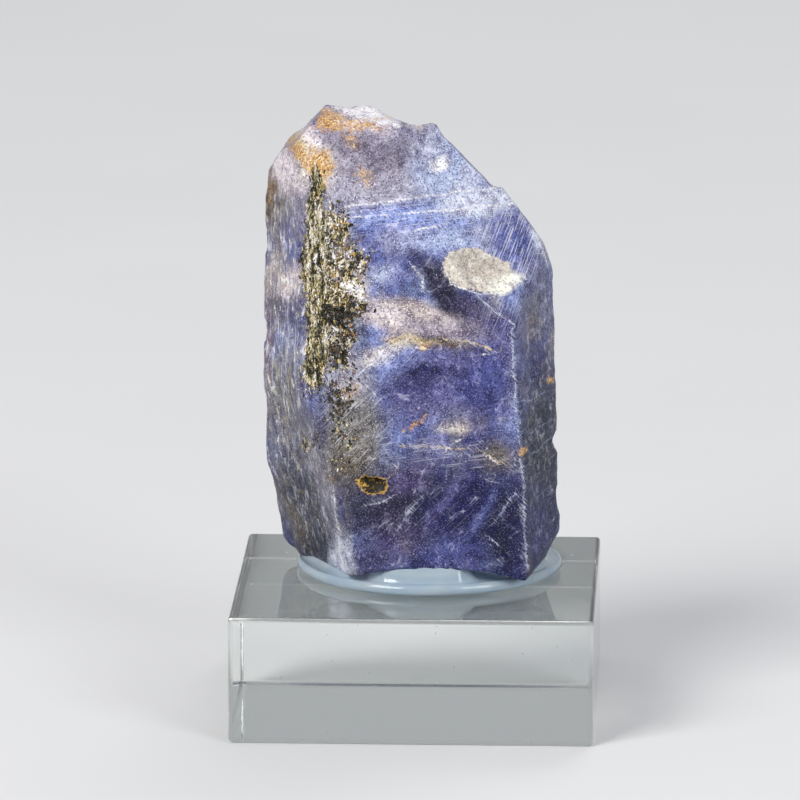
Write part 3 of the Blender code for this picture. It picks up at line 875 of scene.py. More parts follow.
def line_layer(lines, sheet, facing_viewer):
    """Signed distance to the nearest line, its strength near it, and its colour."""
    nearest = np.full(sheet.shape[:-1], np.inf)
    side = np.full(sheet.shape[:-1], LINE_REACH)
    strength = np.zeros(sheet.shape[:-1])
    tone = np.ones(sheet.shape[:-1] + (3,))
    for colour, force, route in lines.values():
        signed, distance = signed_distance(sheet, route)
        nearer = distance < nearest
        nearest = np.where(nearer, distance, nearest)
        side = np.where(nearer, np.clip(signed, -LINE_REACH, LINE_REACH), side)
        strength = np.where(nearer, force * (1 - smooth_step(LINE_FADE, LINE_REACH, distance)), strength)
        tone = np.where(nearer[..., None], PALETTE[colour], tone)
    return side, strength * facing_viewer, tone


line_places = sheet_places + waver * 0.22
growth_side, growth_strength, growth_tone = line_layer(GROWTH_LINES, line_places, seen)
crack_side, crack_strength, crack_tone = line_layer(CRACK_LINES, line_places, seen)
print(len(GROWTH_LINES) + len(CRACK_LINES), "lines traced")

# %% [markdown]
# ## Where mica, rust, frost and scratches lie
#
# Some marks are too fine for the mesh and too many to place: mica grains, rust specks, frost
# crystals, and scratches that all run one way. For these the mesh stores only how thickly they lie
# at each point, and the material breaks that up with its own fine noise. The golden pocket low on
# the front is stored as a depth inside its oval, like a crisp zone, because its rim is a thin line.

# %% Cover of the fine marks
# A cover is its middle and half sizes on the sheet in mm, its tilt, its strength and its softness
MICA_COVER = {
    "band_top": ((-8.8, 21.6), (0.8, 2.6), 0, 0.8, 0.5),
    "band": ((-8.7, 13.4), (1.35, 8.2), 2, 1.0, 0.35),
    "band_low": ((-8.9, 4.6), (1.2, 3.2), -4, 1.0, 0.5),
    "chunks_high": ((-6.7, 18.0), (1.2, 2.2), 0, 0.75, 0.7),
    "chunks": ((-6.0, 13.0), (2.0, 3.4), -10, 0.85, 0.6),
    "chunks_mid": ((-5.6, 10.6), (1.8, 2.2), 30, 0.8, 0.7),
    "chunks_low": ((-6.4, 6.0), (1.4, 3.0), 10, 0.8, 0.6),
    "tail": ((-6.7, 0.4), (1.4, 2.4), 0, 0.34, 0.7),
    "tail_low": ((-6.2, -4.6), (1.3, 3.2), 0, 0.24, 0.8),
    "tail_left": ((-9.6, -4.8), (0.7, 0.9), 20, 0.45, 0.6),
}
RUST_COVER = {
    "shoulder": ((-8.5, 24.8), (1.5, 1.9), 10, 1.0, 0.6),
    "shoulder_low": ((-8.2, 23.0), (0.7, 0.9), 0, 0.9, 0.6),
    "shoulder_edge": ((-10.4, 25.8), (0.8, 3.2), 32, 0.8, 0.7),
    "crest_left": ((-7.4, 29.4), (1.7, 1.2), 10, 0.9, 0.7),
    "crest": ((-4.4, 28.9), (2.6, 0.7), -4, 0.7, 0.7),
    "crown_stain": ((-5.4, 27.6), (1.8, 1.0), -40, 0.55, 0.8),
    "crown_vee": ((-3.6, 23.4), (1.3, 1.0), -50, 0.6, 0.7),
    "left_edge": ((-13.7, 22.0), (0.6, 2.0), 0, 0.4, 0.6),
    "left_edge_low": ((-13.9, 8.0), (0.5, 8.0), 0, 0.28, 0.7),
    "lens_speck": ((2.5, 5.4), (0.5, 0.3), 0, 1.0, 0.5),
    "lens_border": ((4.4, 5.9), (3.6, 0.6), -5, 0.3, 0.8),
    "hollow_streak": ((1.5, -2.5), (1.6, 0.4), 28, 0.6, 0.7),
    "haze_dots": ((12.9, -5.3), (0.5, 0.5), 0, 0.9, 0.6),
    "mica_foot": ((-5.4, 1.0), (1.2, 1.4), 0, 0.5, 0.8),
    "mica_side": ((-5.2, 13.4), (2.0, 4.0), 0, 0.5, 0.8),
    "low_left": ((-11.0, -12.4), (0.7, 3.6), 22, 0.2, 0.8),
    "pocket": ((-1.9, -8.9), (0.4, 0.4), 0, 0.7, 0.6),
    "right_veil": ((14.0, 8.0), (0.9, 2.4), -8, 0.33, 0.9),
    "right_spot": ((16.0, 2.1), (0.3, 0.4), 0, 0.8, 0.6),
}
FROST_COVER = {
    "crown_low": ((-1.0, 22.6), (5.0, 2.0), 4, 0.6, 0.8),
    "crown_blue": ((5.5, 24.4), (3.4, 4.2), -30, 0.6, 0.7),
    "band": ((6.0, 19.2), (7.5, 2.6), 4, 0.85, 0.6),
    "oval_round": ((8.6, 13.6), (4.6, 2.8), -10, 0.5, 0.6),
    "ridge_right": ((12.5, -2.0), (0.6, 10.5), 2, 0.7, 0.6),
    "fracture": ((-1.8, 4.6), (3.0, 1.6), 28, 0.9, 0.7),
    "grey": ((-5.0, -2.4), (3.0, 6.4), 6, 0.8, 0.7),
    "corner": ((-6.2, -16.6), (1.5, 3.2), 6, 1.4, 0.6),
    "left_low": ((-8.6, -10.0), (2.0, 6.0), 22, 0.4, 0.8),
    "left_edge": ((-13.6, 4.0), (0.6, 10.0), 0, 0.4, 0.8),
    "haze": ((7.6, -5.6), (4.0, 1.6), -8, 0.5, 0.8),
}
# Scratches run four ways: steep, slanting, upright and nearly level
SCRATCH_COVER = {
    "steep": {
        "facet": ((11.6, 16.6), (3.4, 4.2), 0, 1.0, 0.6),
        "below": ((11.0, 10.2), (2.2, 3.0), 0, 0.5, 0.8),
    },
    "slanting": {
        "low": ((5.0, -11.5), (8.0, 5.5), 0, 0.18, 0.8),
        "grey": ((-4.6, -2.0), (3.4, 6.0), 10, 0.9, 0.6),
        "fracture": ((-1.0, 4.6), (4.0, 2.0), 30, 0.9, 0.7),
        "right": ((14.6, -3.0), (2.2, 9.0), 0, 0.35, 0.8),
        "upper": ((1.0, 15.0), (4.0, 3.0), 0, 0.25, 0.8),
        "crown": ((2.0, 25.0), (7.0, 5.0), 0, 0.35, 0.8),
    },
    "upright": {
        "left": ((-12.2, 8.0), (2.6, 14.0), 0, 0.8, 0.5),
        "left_foot": ((-10.0, -9.0), (3.0, 8.0), 20, 0.36, 0.5),
        "bevel": ((-8.8, 12.0), (1.6, 10.0), 0, 0.5, 0.6),
        "right": ((14.9, 2.0), (1.7, 14.0), -1, 0.22, 0.5),
    },
    "level": {
        "band": ((3.0, 19.4), (9.5, 2.6), 5, 0.9, 0.6),
        "haze": ((4.5, -5.8), (6.5, 1.6), -8, 0.7, 0.7),
    },
}
# The golden pocket: its middle and half sizes on the sheet in mm, and its tilt in degrees
POCKET = ((-2.95, -9.0), (1.6, 0.8), -6)


def cover_of(table, sheet, facing_viewer):
    """The strongest cover that any oval of the table gives at each point."""
    covers = [
        oval_cover(sheet, middle, half, tilt, softness) * strength
        for middle, half, tilt, strength, softness in table.values()
    ]
    return np.max(covers, axis=0) * facing_viewer


pocket_side = depth_inside(wavering_places, *POCKET) - FAR_SIDE * (1 - seen)
pocket_side = np.clip(pocket_side, -EDGE_REACH, EDGE_REACH)
mica_cover = cover_of(MICA_COVER, sheet_places + waver, seen)
rust_cover = cover_of(RUST_COVER, wavering_places, seen)
frost_cover = cover_of(FROST_COVER, wavering_places, seen)
scratch_covers = [cover_of(table, wavering_places, seen) for table in SCRATCH_COVER.values()]
hidden_side = 1 - seen
far_rust = smooth_step(0.45, 0.75, layered_noise(plain_skin, 5.0, 71)) * 0.7
rust_cover = np.maximum(rust_cover, hidden_side * far_rust)
frost_cover = np.maximum(frost_cover, hidden_side * (0.25 + 0.4 * soft_noise(plain_skin, 4.0, 81)))
scratch_covers[2] = np.maximum(scratch_covers[2], hidden_side * 0.6)
print("share covered by mica", mica_cover.mean().round(3), "rust", rust_cover.mean().round(3))

# %% [markdown]
# ## Relief
#
# Seen close, no facet is flat. The whole stone undulates a little and is rough at every smaller
# size. Mica is coarse and crumbly, the left side is furrowed upright by growth, and the bright
# growth lines are little steps. This relief is added along the surface's own direction, and it
# stays within a fraction of a millimetre, so the outline stays that of the solid. Four soft swells
# fill out corners where the real stone is rounder than its facets, by 0.7 mm at most.

# %% Build the stone
# A swell is its middle and reach in mm, and how far it pushes the skin across, away and up
SWELLS = {
    "crest": ((-5.4, 2.0, 63.3), 2.7, (0.0, 0.0, 0.42)),
    "crown_corner": ((1.6, -0.4, 61.7), 1.8, (0.2, -0.1, 0.55)),
    "left_toe": ((-12.9, 3.4, 15.9), 3.0, (-0.54, 0.0, -0.48)),
    "left_flank": ((-15.0, 6.0, 24.0), 7.5, (-0.72, 0.0, 0.0)),
}
ROLLING, ROUGHNESS, CRUMBLE, FURROWS = 0.13, 0.07, 0.17, 0.07
LINE_RIDGE, RIDGE_WIDTH = 0.09, 0.22
UNDERSIDE, UNDERSIDE_CALM = -0.5, 0.15
FOOT_CALM = (0.05, 0.9)


def relief(skin):
    """Millimetres to move each point outwards."""
    upright = np.stack([skin[..., 0], skin[..., 1], skin[..., 2] * 0.12], axis=-1)
    stretched = np.stack([skin[..., 0], skin[..., 1], skin[..., 2] * 0.5], axis=-1)
    height = ROLLING * layered_noise(skin, 3.2, 101) + ROUGHNESS * layered_noise(skin, 0.9, 111)
    height = height + CRUMBLE * mica_cover * (layered_noise(stretched, 0.6, 121, 2) - 0.3)
    height = height + FURROWS * scratch_covers[2] * layered_noise(upright, 0.9, 131)
    bead = 0.6 + 0.4 * soft_noise(skin, 0.5, 141)
    return height + LINE_RIDGE * growth_strength * np.exp(-((growth_side / RIDGE_WIDTH) ** 2)) * bead


def swell(skin):
    """How far the swells push each point: most at the middle, nothing at the reach."""
    push = np.zeros_like(skin)
    for middle, reach, way in SWELLS.values():
        near = 1 - smooth_step(0, reach, np.linalg.norm(skin - np.array(middle), axis=-1))
        push += near[..., None] * np.array(way)
    return push


foot_fade = smooth_step(*(stone_box[0, 2] + np.array(FOOT_CALM)), plain_skin[..., 2])
stone_relief = relief(plain_skin) * np.where(plain_normals[..., 2] < UNDERSIDE, UNDERSIDE_CALM, 1.0)
stone_skin = plain_skin + plain_normals * (stone_relief * foot_fade)[..., None] + swell(plain_skin)
stone = closed_surface("corundum_skin", stone_skin, stone_skin[0].mean(axis=0), stone_skin[-1].mean(axis=0))


def with_tips(values):
    """Values for the two tip points added to those of the rings."""
    flat = values.reshape(-1, values.shape[-1])
    return np.concatenate([flat[:1], flat, flat[-1:]])


def four(*parts):
    """Stack one to four fields into four numbers a point, the missing ones 1."""
    fields = np.concatenate([part if part.ndim == 3 else part[..., None] for part in parts], axis=-1)
    missing = 4 - fields.shape[-1]
    return np.concatenate([fields, np.ones(fields.shape[:-1] + (missing,))], axis=-1) if missing else fields


# %% [markdown]
# ### What the skin stores
#
# A mesh can hold any number of named colours, four numbers each. Here they carry the zones, the
# lines, the covers and the places on the tracing sheet, so that the material can read them at any
# point and needs no picture.

# %% Store the fields on the stone
store_colour(stone, "zone_colour", with_tips(four(stone_colour)))
store_colour(stone, "crisp_colour", with_tips(four(crisp_colour, crisp_side)))
store_colour(stone, "growth_colour", with_tips(four(growth_tone)))
store_colour(stone, "crack_colour", with_tips(four(crack_tone)))
store_colour(stone, "lines", with_tips(four(growth_side, growth_strength, crack_side, crack_strength)))
store_colour(stone, "marks", with_tips(four(mica_cover, rust_cover, frost_cover, pocket_side)))
store_colour(stone, "scratches", with_tips(four(*scratch_covers)))
store_colour(stone, "sheet", with_tips(four(sheet_places[..., :1], sheet_places[..., 1:], growth_side * 0)))
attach(stone, "root")
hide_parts("corundum_crystal")

# %% [markdown]
# ## Materials as node chains
#
# A material is a chain of nodes. A few helpers keep the chains short to write: one adds a node and
# fills or links its inputs by name, others multiply, threshold, mix two colours, or pick a colour
# from a ramp. All patterns are measured in the object's own coordinates, in metres, so they stay on
# the stone from every side.

# %% Helpers for materials


def new_material(name):
    """A material with only its Principled shader, ready for a chain."""
    mat = bpy.data.materials.new(name)
    mat.use_nodes = True
    return mat, mat.node_tree.nodes["Principled BSDF"]


def dress(obj, mat):
    """Give an object its finish, and print how long the chain is."""
    obj.data.materials.append(mat)
    print(mat.name, "has", len(mat.node_tree.nodes), "nodes")


def add(mat, kind, settings=None, **inputs):
    """A new node. Each input is a number or colour to set, or another node's output to link."""
    node = mat.node_tree.nodes.new("ShaderNode" + kind)
    for key, value in (settings or {}).items():
        setattr(node, key, value)
    for key, value in inputs.items():
        socket = node.inputs[int(key[1:])] if key[0] == "i" and key[1:].isdigit() else node.inputs[key]
        feed(mat, socket, value)
    return node


def feed(mat, socket, value):
    """Link an output to a socket, or set the socket's own value."""
    if isinstance(value, bpy.types.NodeSocket):
        mat.node_tree.links.new(value, socket)
    elif isinstance(value, np.ndarray):
        socket.default_value = (*value, 1.0) if len(value) == 3 and socket.type == "RGBA" else tuple(value)
    else:
        socket.default_value = value


def calc(mat, operation, first, second=0.0, third=0.0):
    """One sum, product or other operation on numbers."""
    return add(mat, "Math", {"operation": operation}, i0=first, i1=second, i2=third).outputs[0]


def times(mat, *factors):
    """The product of two or more numbers."""
    product = factors[0]
    for factor in factors[1:]:
        product = calc(mat, "MULTIPLY", product, factor)
    return product


def between(mat, value, low, high):
    """0 up to low, 1 from high, and a smooth rise between."""
    settings = {"interpolation_type": "SMOOTHSTEP"}
    node = add(mat, "MapRange", settings, Value=value)
    node.inputs["From Min"].default_value = low
    node.inputs["From Max"].default_value = high
    return node.outputs["Result"]


def blend(mat, factor, under, over, mode="MIX"):
    """One colour laid over another by a factor."""
    node = add(mat, "Mix", {"data_type": "RGBA", "blend_type": mode, "clamp_factor": True})
    feed(mat, node.inputs["Factor"], factor)
    feed(mat, node.inputs[6], under)
    feed(mat, node.inputs[7], over)
    return node.outputs[2]


def tone_ramp(mat, field, stops, blending="CONSTANT"):
    """Palette colours picked by a field: each stop is where a colour starts, hard or blended."""
    node = add(mat, "ValToRGB", Fac=field)
    ramp = node.color_ramp
    ramp.interpolation = blending
    while len(ramp.elements) < len(stops):
        ramp.elements.new(0.5)
    for element, (position, tone) in zip(ramp.elements, stops):
        element.position = position
        element.color = (*PALETTE[tone], 1.0)
    return node.outputs["Color"]


def bumpy(mat, shader, height, strength, depth_mm):
    """Tilt the shading by a height field, without moving the surface."""
    bump = add(mat, "Bump", Height=height)
    bump.inputs["Strength"].default_value = strength
    bump.inputs["Distance"].default_value = depth_mm * MM
    feed(mat, shader.inputs["Normal"], bump.outputs["Normal"])


def noise(mat, place, grain_mm, detail=2.0, roughness=0.55, distortion=0.0):
    """Noise whose largest features are about this many mm."""
    node = add(mat, "TexNoise", Vector=place)
    node.inputs["Scale"].default_value = 1.0 / (grain_mm * MM)
    node.inputs["Detail"].default_value = detail
    node.inputs["Roughness"].default_value = roughness
    node.inputs["Distortion"].default_value = distortion
    return node.outputs["Fac"]


def turned(mat, place, angles, stretch):
    """The place for a pattern that is stretched along its own axes and then turned by angles in degrees."""
    node = add(mat, "Mapping", {"vector_type": "TEXTURE"}, Vector=place)
    node.inputs["Rotation"].default_value = [math.radians(angle) for angle in angles]
    node.inputs["Scale"].default_value = stretch
    return node.outputs["Vector"]


def stored(mat, name):
    """A stored colour as its red, green, blue and alpha outputs, and whole."""
    node = add(mat, "Attribute", {"attribute_type": "GEOMETRY", "attribute_name": name})
    parts = add(mat, "SeparateColor", Color=node.outputs["Color"])
    return (*parts.outputs, node.outputs["Alpha"], node.outputs["Color"])


# %% [markdown]
# ## The stone's finish
#
# The finish is laid on from the inside out, as a painter glazes: the colour zones, then clouds and
# grain, the weathered sides, scratches and veins, rust, mica and the golden pocket, the drawn lines,
# and frost on top. Each layer is a function that takes the colour so far and gives the new one. The
# stored fields and the noises that several layers share are gathered first, under short names.

# %% What the layers share
CLOUD_MM, GRAIN_MM, FINE_MM, FURROW_MM = 1.2, 0.27, 0.15, 0.55


def stone_fields(mat):
    """The fields stored on the stone, and the common noises, each under its name."""
    on = SimpleNamespace(place=add(mat, "TexCoord").outputs["Object"])
    on.sheet = stored(mat, "sheet")[4]
    on.zone = stored(mat, "zone_colour")[4]
    on.crisp_side, on.crisp_tone = stored(mat, "crisp_colour")[3:]
    on.mica, on.rust, on.frost, on.pocket = stored(mat, "marks")[:4]
    on.steep, on.slanting, on.upright, on.level = stored(mat, "scratches")[:4]
    on.growth_at, on.growth_force, on.crack_at, on.crack_force = stored(mat, "lines")[:4]
    on.growth_tone = stored(mat, "growth_colour")[4]
    on.crack_tone = stored(mat, "crack_colour")[4]
    on.cloud = noise(mat, on.place, CLOUD_MM, detail=5.0, roughness=0.64, distortion=0.3)
    on.grain = noise(mat, on.place, GRAIN_MM, detail=2.0, roughness=0.65)
    on.fine = noise(mat, on.place, FINE_MM, detail=1.0, roughness=0.6)
    tall = turned(mat, on.place, (0, 0, 0), (1.0, 1.0, 9.0))
    on.furrow = noise(mat, tall, FURROW_MM, detail=4.0, roughness=0.65)
    return on


def ragged(mat, side, field, amount):
    """A depth or distance in mm whose edge wavers with a field, by up to half the amount each way."""
    return calc(mat, "MULTIPLY_ADD", calc(mat, "SUBTRACT", field, 0.5), amount, side)


print("clouds of", CLOUD_MM, "mm, and grains of", GRAIN_MM, "and", FINE_MM, "mm")

# %% [markdown]
# ### Clouds and grain
#
# Inside a zone the colour is never even: it darkens and pales in clouds, and again in grains. A dark
# and a pale version of the zone's colour are made once, and noises of three sizes choose between
# them; the finest pale grains are painted glints. The crisp patches are cut in first, and are a
# little calmer than the rest.

# %% Clouds and grain
DARK_GLAZE = np.array((0.34, 0.31, 0.42))
GLOW, BRIGHTEST = 1.75, (0.92, 0.92, 0.95)


def clouded(mat, on):
    """The cloudy colour of the zones, the mask of the crisp patches, and the dark version."""
    patch = between(mat, ragged(mat, on.crisp_side, on.grain, 0.7), -0.10, 0.10)
    colour = blend(mat, patch, on.zone, on.crisp_tone)
    lively = calc(mat, "MULTIPLY_ADD", patch, -0.3, 1.0)
    dark = blend(mat, 1.0, colour, DARK_GLAZE, "MULTIPLY")
    glow = add(mat, "VectorMath", {"operation": "SCALE"}, i0=colour, Scale=GLOW)
    glow = add(mat, "VectorMath", {"operation": "MINIMUM"}, i0=glow.outputs[0], i1=BRIGHTEST)
    pale = blend(mat, 0.12, glow.outputs[0], PALETTE["frost"])
    for field, low, high, tone in (
        (on.cloud, 0.53, 0.34, dark),
        (on.cloud, 0.55, 0.69, pale),
        (on.grain, 0.49, 0.36, dark),
        # Painted glints: the finest pale grains
        (on.fine, 0.56, 0.68, pale),
    ):
        colour = blend(mat, times(mat, between(mat, field, low, high), lively), colour, tone)
    return colour, patch, dark


# %% [markdown]
# ### The weathered sides
#
# The left side was not freshly broken like the front. It is blotched, furrowed upright, tinted khaki
# in places, and set with dark grains and painted glints. The same field that lays upright scratches
# there says how much: it is strong on the left and on the far sides, and weak on the right.

# %% Blotches, furrows and glitter
BLOTCH_MM, STAIN_MM, GLITTER_MM = 0.8, 1.1, 0.34


def weathered(mat, on, colour, dark):
    """The colour with blotches, furrows, a khaki tint and crowded dark grains and painted glints, as far as
    the side is worn.
    """
    worn = calc(mat, "MINIMUM", times(mat, on.upright, 1.2), 0.9)
    tall = turned(mat, on.place, (0, 0, 0), (1.0, 1.0, 1.8))
    blotch = noise(mat, tall, BLOTCH_MM, detail=3.0, roughness=0.6)
    for low, high, tone in ((0.44, 0.34, dark), (0.56, 0.66, PALETTE["frost"])):
        colour = blend(mat, times(mat, between(mat, blotch, low, high), worn), colour, tone)
    furrows = times(mat, between(mat, on.furrow, 0.50, 0.38), on.upright, 0.9)
    colour = blend(mat, furrows, colour, dark)
    stained = between(mat, noise(mat, on.place, STAIN_MM, detail=3.0, roughness=0.6), 0.53, 0.64)
    colour = blend(mat, times(mat, stained, on.upright, 0.36), colour, PALETTE["khaki"])
    tall = turned(mat, on.place, (0, 0, 0), (1.0, 1.0, 1.7))
    grains = noise(mat, tall, GLITTER_MM, detail=3.0, roughness=0.7)
    crowd = calc(mat, "MULTIPLY_ADD", between(mat, on.cloud, 0.42, 0.58), 0.8, 0.2)
    # Painted glints: the lemon grains; the gloom grains are dark pits
    for low, high, force, tone in ((0.45, 0.36, 1.0, "gloom"), (0.60, 0.66, 0.95, "lemon")):
        share = times(mat, between(mat, grains, low, high), on.upright, crowd, force)
        colour = blend(mat, share, colour, PALETTE[tone])
    return colour


# %% [markdown]
# ### Scratches and veins
#
# Scratches run in families, each with its own direction. A noise that is stretched 22 times along
# one direction of the tracing sheet gives such a family, and its stored cover keeps it in place.
# Veins are thinner and wander: each lies where a wide noise crosses its middle value.

# %% Scratches and veins
# A family of scratches is its lean in degrees, its width in mm and how rare it is; a vein its angles and mm
SCRATCH_FAMILIES = {"steep": (20, 0.14, 0.50), "slanting": (46, 0.13, 0.57), "level": (82, 0.14, 0.56)}
VEINS = (((0, 35, 20), 1.6), ((15, -40, 0), 2.2))


def streaks(mat, sheet, lean, grain_mm, low):
    """Streaks that lean to the right of upright by an angle, on the sheet, which is stored in mm."""
    way = turned(mat, sheet, (0, 0, -lean), (1.0, 22.0, 1.0))
    field = noise(mat, way, grain_mm / MM, detail=2.0, roughness=0.5)
    return between(mat, field, low, low + 0.12)


def scratched(mat, on, colour, patch):
    """The colour with pale scratches, fainter on the crisp patches, and the mask of the scratches."""
    lines = times(mat, between(mat, on.furrow, 0.56, 0.66), on.upright, 0.7)
    for name, family in SCRATCH_FAMILIES.items():
        lines = calc(mat, "MAXIMUM", lines, times(mat, streaks(mat, on.sheet, *family), vars(on)[name]))
    bare = calc(mat, "MULTIPLY_ADD", patch, -0.8, 1.0)
    return blend(mat, times(mat, lines, 0.62, bare), colour, PALETTE["frost"]), lines


def veined(mat, on, colour):
    """The colour with two families of thin pale veins, which show in the pale clouds only."""
    for angles, vein_mm in VEINS:
        way = turned(mat, on.place, angles, (1.0, 1.0, 3.0))
        field = noise(mat, way, vein_mm, detail=1.5, roughness=0.5)
        off_line = calc(mat, "ABSOLUTE", calc(mat, "SUBTRACT", field, 0.5))
        vein = times(mat, between(mat, off_line, 0.010, 0.002), between(mat, on.cloud, 0.50, 0.64), 0.36)
        colour = blend(mat, vein, colour, PALETTE["frost"])
    return colour


# %% [markdown]
# ### Rust, mica and the golden pocket
#
# Each of these has its own few tones, which a finer noise picks from a ramp. Rust soaks in, so its
# edge is soft. Mica sits on top in hard little steps of tone, and under the flakes it fills what
# shows between them, its ink partly painted shade in the gaps and its snow partly painted glint. The
# pocket is an open hollow lined with honey-coloured grains, with a thin golden rim.

# %% Rust, mica and the pocket
RUST_TONES = ((0.28, "walnut"), (0.42, "rust"), (0.54, "gold"), (0.70, "lemon"))
# Painted shade and glints in part: ink fills the gaps between flakes, snow their glints
CRUST_TONES = ((0.0, "ink"), (0.42, "olive"), (0.48, "bronze"), (0.53, "straw"), (0.60, "snow"))
# Painted shade and highlight in part: in the pocket, ink darkens the hollow and lemon lights its grains
POCKET_TONES = ((0.49, "ink"), (0.57, "honey"), (0.67, "gold"), (0.76, "lemon"))


def rusted(mat, on, colour):
    """The colour with rust where its cover and a broken noise add up to enough."""
    patchy = noise(mat, on.place, 0.42, detail=5.0, roughness=0.75)
    stain = between(mat, calc(mat, "MULTIPLY_ADD", on.rust, 0.42, patchy), 0.60, 0.90)
    stain = times(mat, stain, between(mat, on.rust, 0.02, 0.3), 0.92)
    tones = tone_ramp(mat, noise(mat, on.place, 0.22, detail=3.0, roughness=0.7), RUST_TONES, "LINEAR")
    return blend(mat, stain, colour, tones)


def crusted(mat, on, colour):
    """The colour with a crust of mica, whose edge is broken by the grain."""
    tall = turned(mat, on.place, (0, 0, 0), (1.0, 1.0, 2.6))
    tones = tone_ramp(mat, noise(mat, tall, 0.20, detail=3.0, roughness=0.7), CRUST_TONES)
    crust = between(mat, calc(mat, "MULTIPLY_ADD", on.grain, 1.2, on.mica), 0.95, 1.25)
    return blend(mat, times(mat, crust, between(mat, on.mica, 0.03, 0.3)), colour, tones)


def pocketed(mat, on, colour):
    """The colour with the pocket's dark and golden grains inside its edge, the dark partly painted shade in
    the hollow, and a thin rim along it.
    """
    depth = ragged(mat, on.pocket, on.grain, 0.5)
    tones = tone_ramp(mat, noise(mat, on.place, 0.7, detail=3.0, roughness=0.7), POCKET_TONES, "LINEAR")
    colour = blend(mat, between(mat, depth, -0.05, 0.05), colour, tones)
    rim = between(mat, calc(mat, "ABSOLUTE", depth), 0.08, 0.02)
    return blend(mat, times(mat, rim, 0.6), colour, PALETTE["gold"])


# %% [markdown]
# ### Drawn lines and frost
#
# The growth lines and cracks are drawn where their stored distance is near nought. They are beaded
# and broken, because on the stone each is a row of tiny bright facets, so the white of the growth
# lines is partly painted highlight. Beside the growth lines short feathers run off to one side. Frost
# is the last layer: white flecks, partly frost and partly painted glints, thicker where its cover is.

# %% Lines and frost
GROWTH_LINE_MM, CRACK_LINE_MM = 0.15, 0.13
BEAD = 0.6


def drawn_line(mat, side, strength, wobble, width_mm):
    """A line where the signed distance is near nought, beaded by the wobble."""
    size = calc(mat, "ABSOLUTE", ragged(mat, side, wobble, BEAD))
    mask = calc(mat, "SUBTRACT", 1.0, between(mat, size, width_mm * 0.35, width_mm))
    return times(mat, mask, strength)


def lined(mat, on, colour):
    """The colour with the growth lines, their feathers and the cracks."""
    wobble = noise(mat, on.place, 0.30, detail=3.0, roughness=0.7)
    broken = between(mat, noise(mat, on.place, 0.26, detail=4.0, roughness=0.75), 0.40, 0.58)
    fading = between(mat, noise(mat, on.place, 1.3, detail=2.0), 0.36, 0.56)
    broken = times(mat, broken, calc(mat, "MULTIPLY_ADD", fading, 0.75, 0.25))
    growth = drawn_line(mat, on.growth_at, on.growth_force, wobble, GROWTH_LINE_MM)
    crack = drawn_line(mat, on.crack_at, on.crack_force, wobble, CRACK_LINE_MM)
    colour = blend(mat, times(mat, growth, broken), colour, on.growth_tone)
    colour = blend(mat, times(mat, crack, broken), colour, on.crack_tone)
    beside = between(mat, calc(mat, "ABSOLUTE", on.growth_at), 0.60, 0.05)
    feather = times(mat, beside, on.growth_force, streaks(mat, on.sheet, -48, 0.12, 0.54), 0.75)
    return blend(mat, feather, colour, PALETTE["frost"])


def frost_and_glints(mat, on, colour):
    """The colour with white flecks in drifts, partly frost and partly painted glints, and the mask of the
    flecks.
    """
    # Partly frost, partly painted glints: the white flecks
    flecks = between(mat, noise(mat, on.place, 0.14, detail=1.5, roughness=0.7), 0.62, 0.68)
    drift = noise(mat, on.place, 0.8, detail=3.0, roughness=0.6)
    drift = between(mat, calc(mat, "MULTIPLY_ADD", on.frost, 0.24, drift), 0.60, 0.80)
    fleck = times(mat, flecks, drift, 0.8)
    return blend(mat, fleck, colour, PALETTE["snow"]), fleck


# %% [markdown]
# ### All the layers
#
# The layers are called in the order in which they lie. A rough white mark is also less glossy than
# clean crystal, so the masks of the scratches, the flecks and the frost raise the roughness too, and
# a fine bump makes the facets glitter in a raking light.

# %% Corundum
CORUNDUM_IOR = 1.76
FINE_BUMP_MM = 0.12


def corundum_material():
    """The finish of the stone's skin, from the zones out to the frost."""
    mat, shader = new_material("corundum_finish")
    on = stone_fields(mat)
    colour, patch, dark = clouded(mat, on)
    colour = weathered(mat, on, colour, dark)
    colour, lines = scratched(mat, on, colour, patch)
    colour = veined(mat, on, colour)
    colour = rusted(mat, on, colour)
    colour = crusted(mat, on, colour)
    colour = pocketed(mat, on, colour)
    colour = lined(mat, on, colour)
    colour, fleck = frost_and_glints(mat, on, colour)
    feed(mat, shader.inputs["Base Color"], colour)
    matt = calc(mat, "MAXIMUM", calc(mat, "MAXIMUM", lines, fleck), times(mat, on.frost, 0.6))
    plain = calc(mat, "MULTIPLY_ADD", on.grain, 0.25, 0.28)
    feed(mat, shader.inputs["Roughness"], calc(mat, "MULTIPLY_ADD", matt, 0.30, plain))
    shader.inputs["IOR"].default_value = CORUNDUM_IOR
    shader.inputs["Specular IOR Level"].default_value = 0.15
    bumpy(mat, shader, calc(mat, "ADD", on.grain, times(mat, on.fine, 0.5)), 0.6, FINE_BUMP_MM)
    return mat


dress(stone, corundum_material())

# %% [markdown]
# ## Mica flakes
#
# The dark crust on the bevel is mica: thousands of tiny six-sided plates. On the left of the band
# they stand on edge as upright slivers, and to the right they are chunkier. One plate of a few
# faces is the pattern for all, and arrays scale, turn and place the copies, so no modifier or
# instance is needed. Each flake stores its tone, from which its finish takes a colour.

# %% Kinds of flake, and clusters of tone
# A kind is its count, the limits of its half width, half length and thickness in mm, how unevenly it
# leans, and how far its middle stands out in thicknesses
FLAKE_KINDS = {
    "slivers": (4300, (0.03, 0.08), (0.12, 0.42), (0.05, 0.14), 0.34, -0.1),
    "chunks": (2300, (0.05, 0.15), (0.07, 0.22), (0.06, 0.17), 0.5, -0.1),
    "plates": (200, (0.14, 0.30), (0.16, 0.38), (0.05, 0.16), 0.4, 0.0),
    "crumbs": (1400, (0.03, 0.08), (0.04, 0.11), (0.04, 0.10), 0.6, 0.0),
}
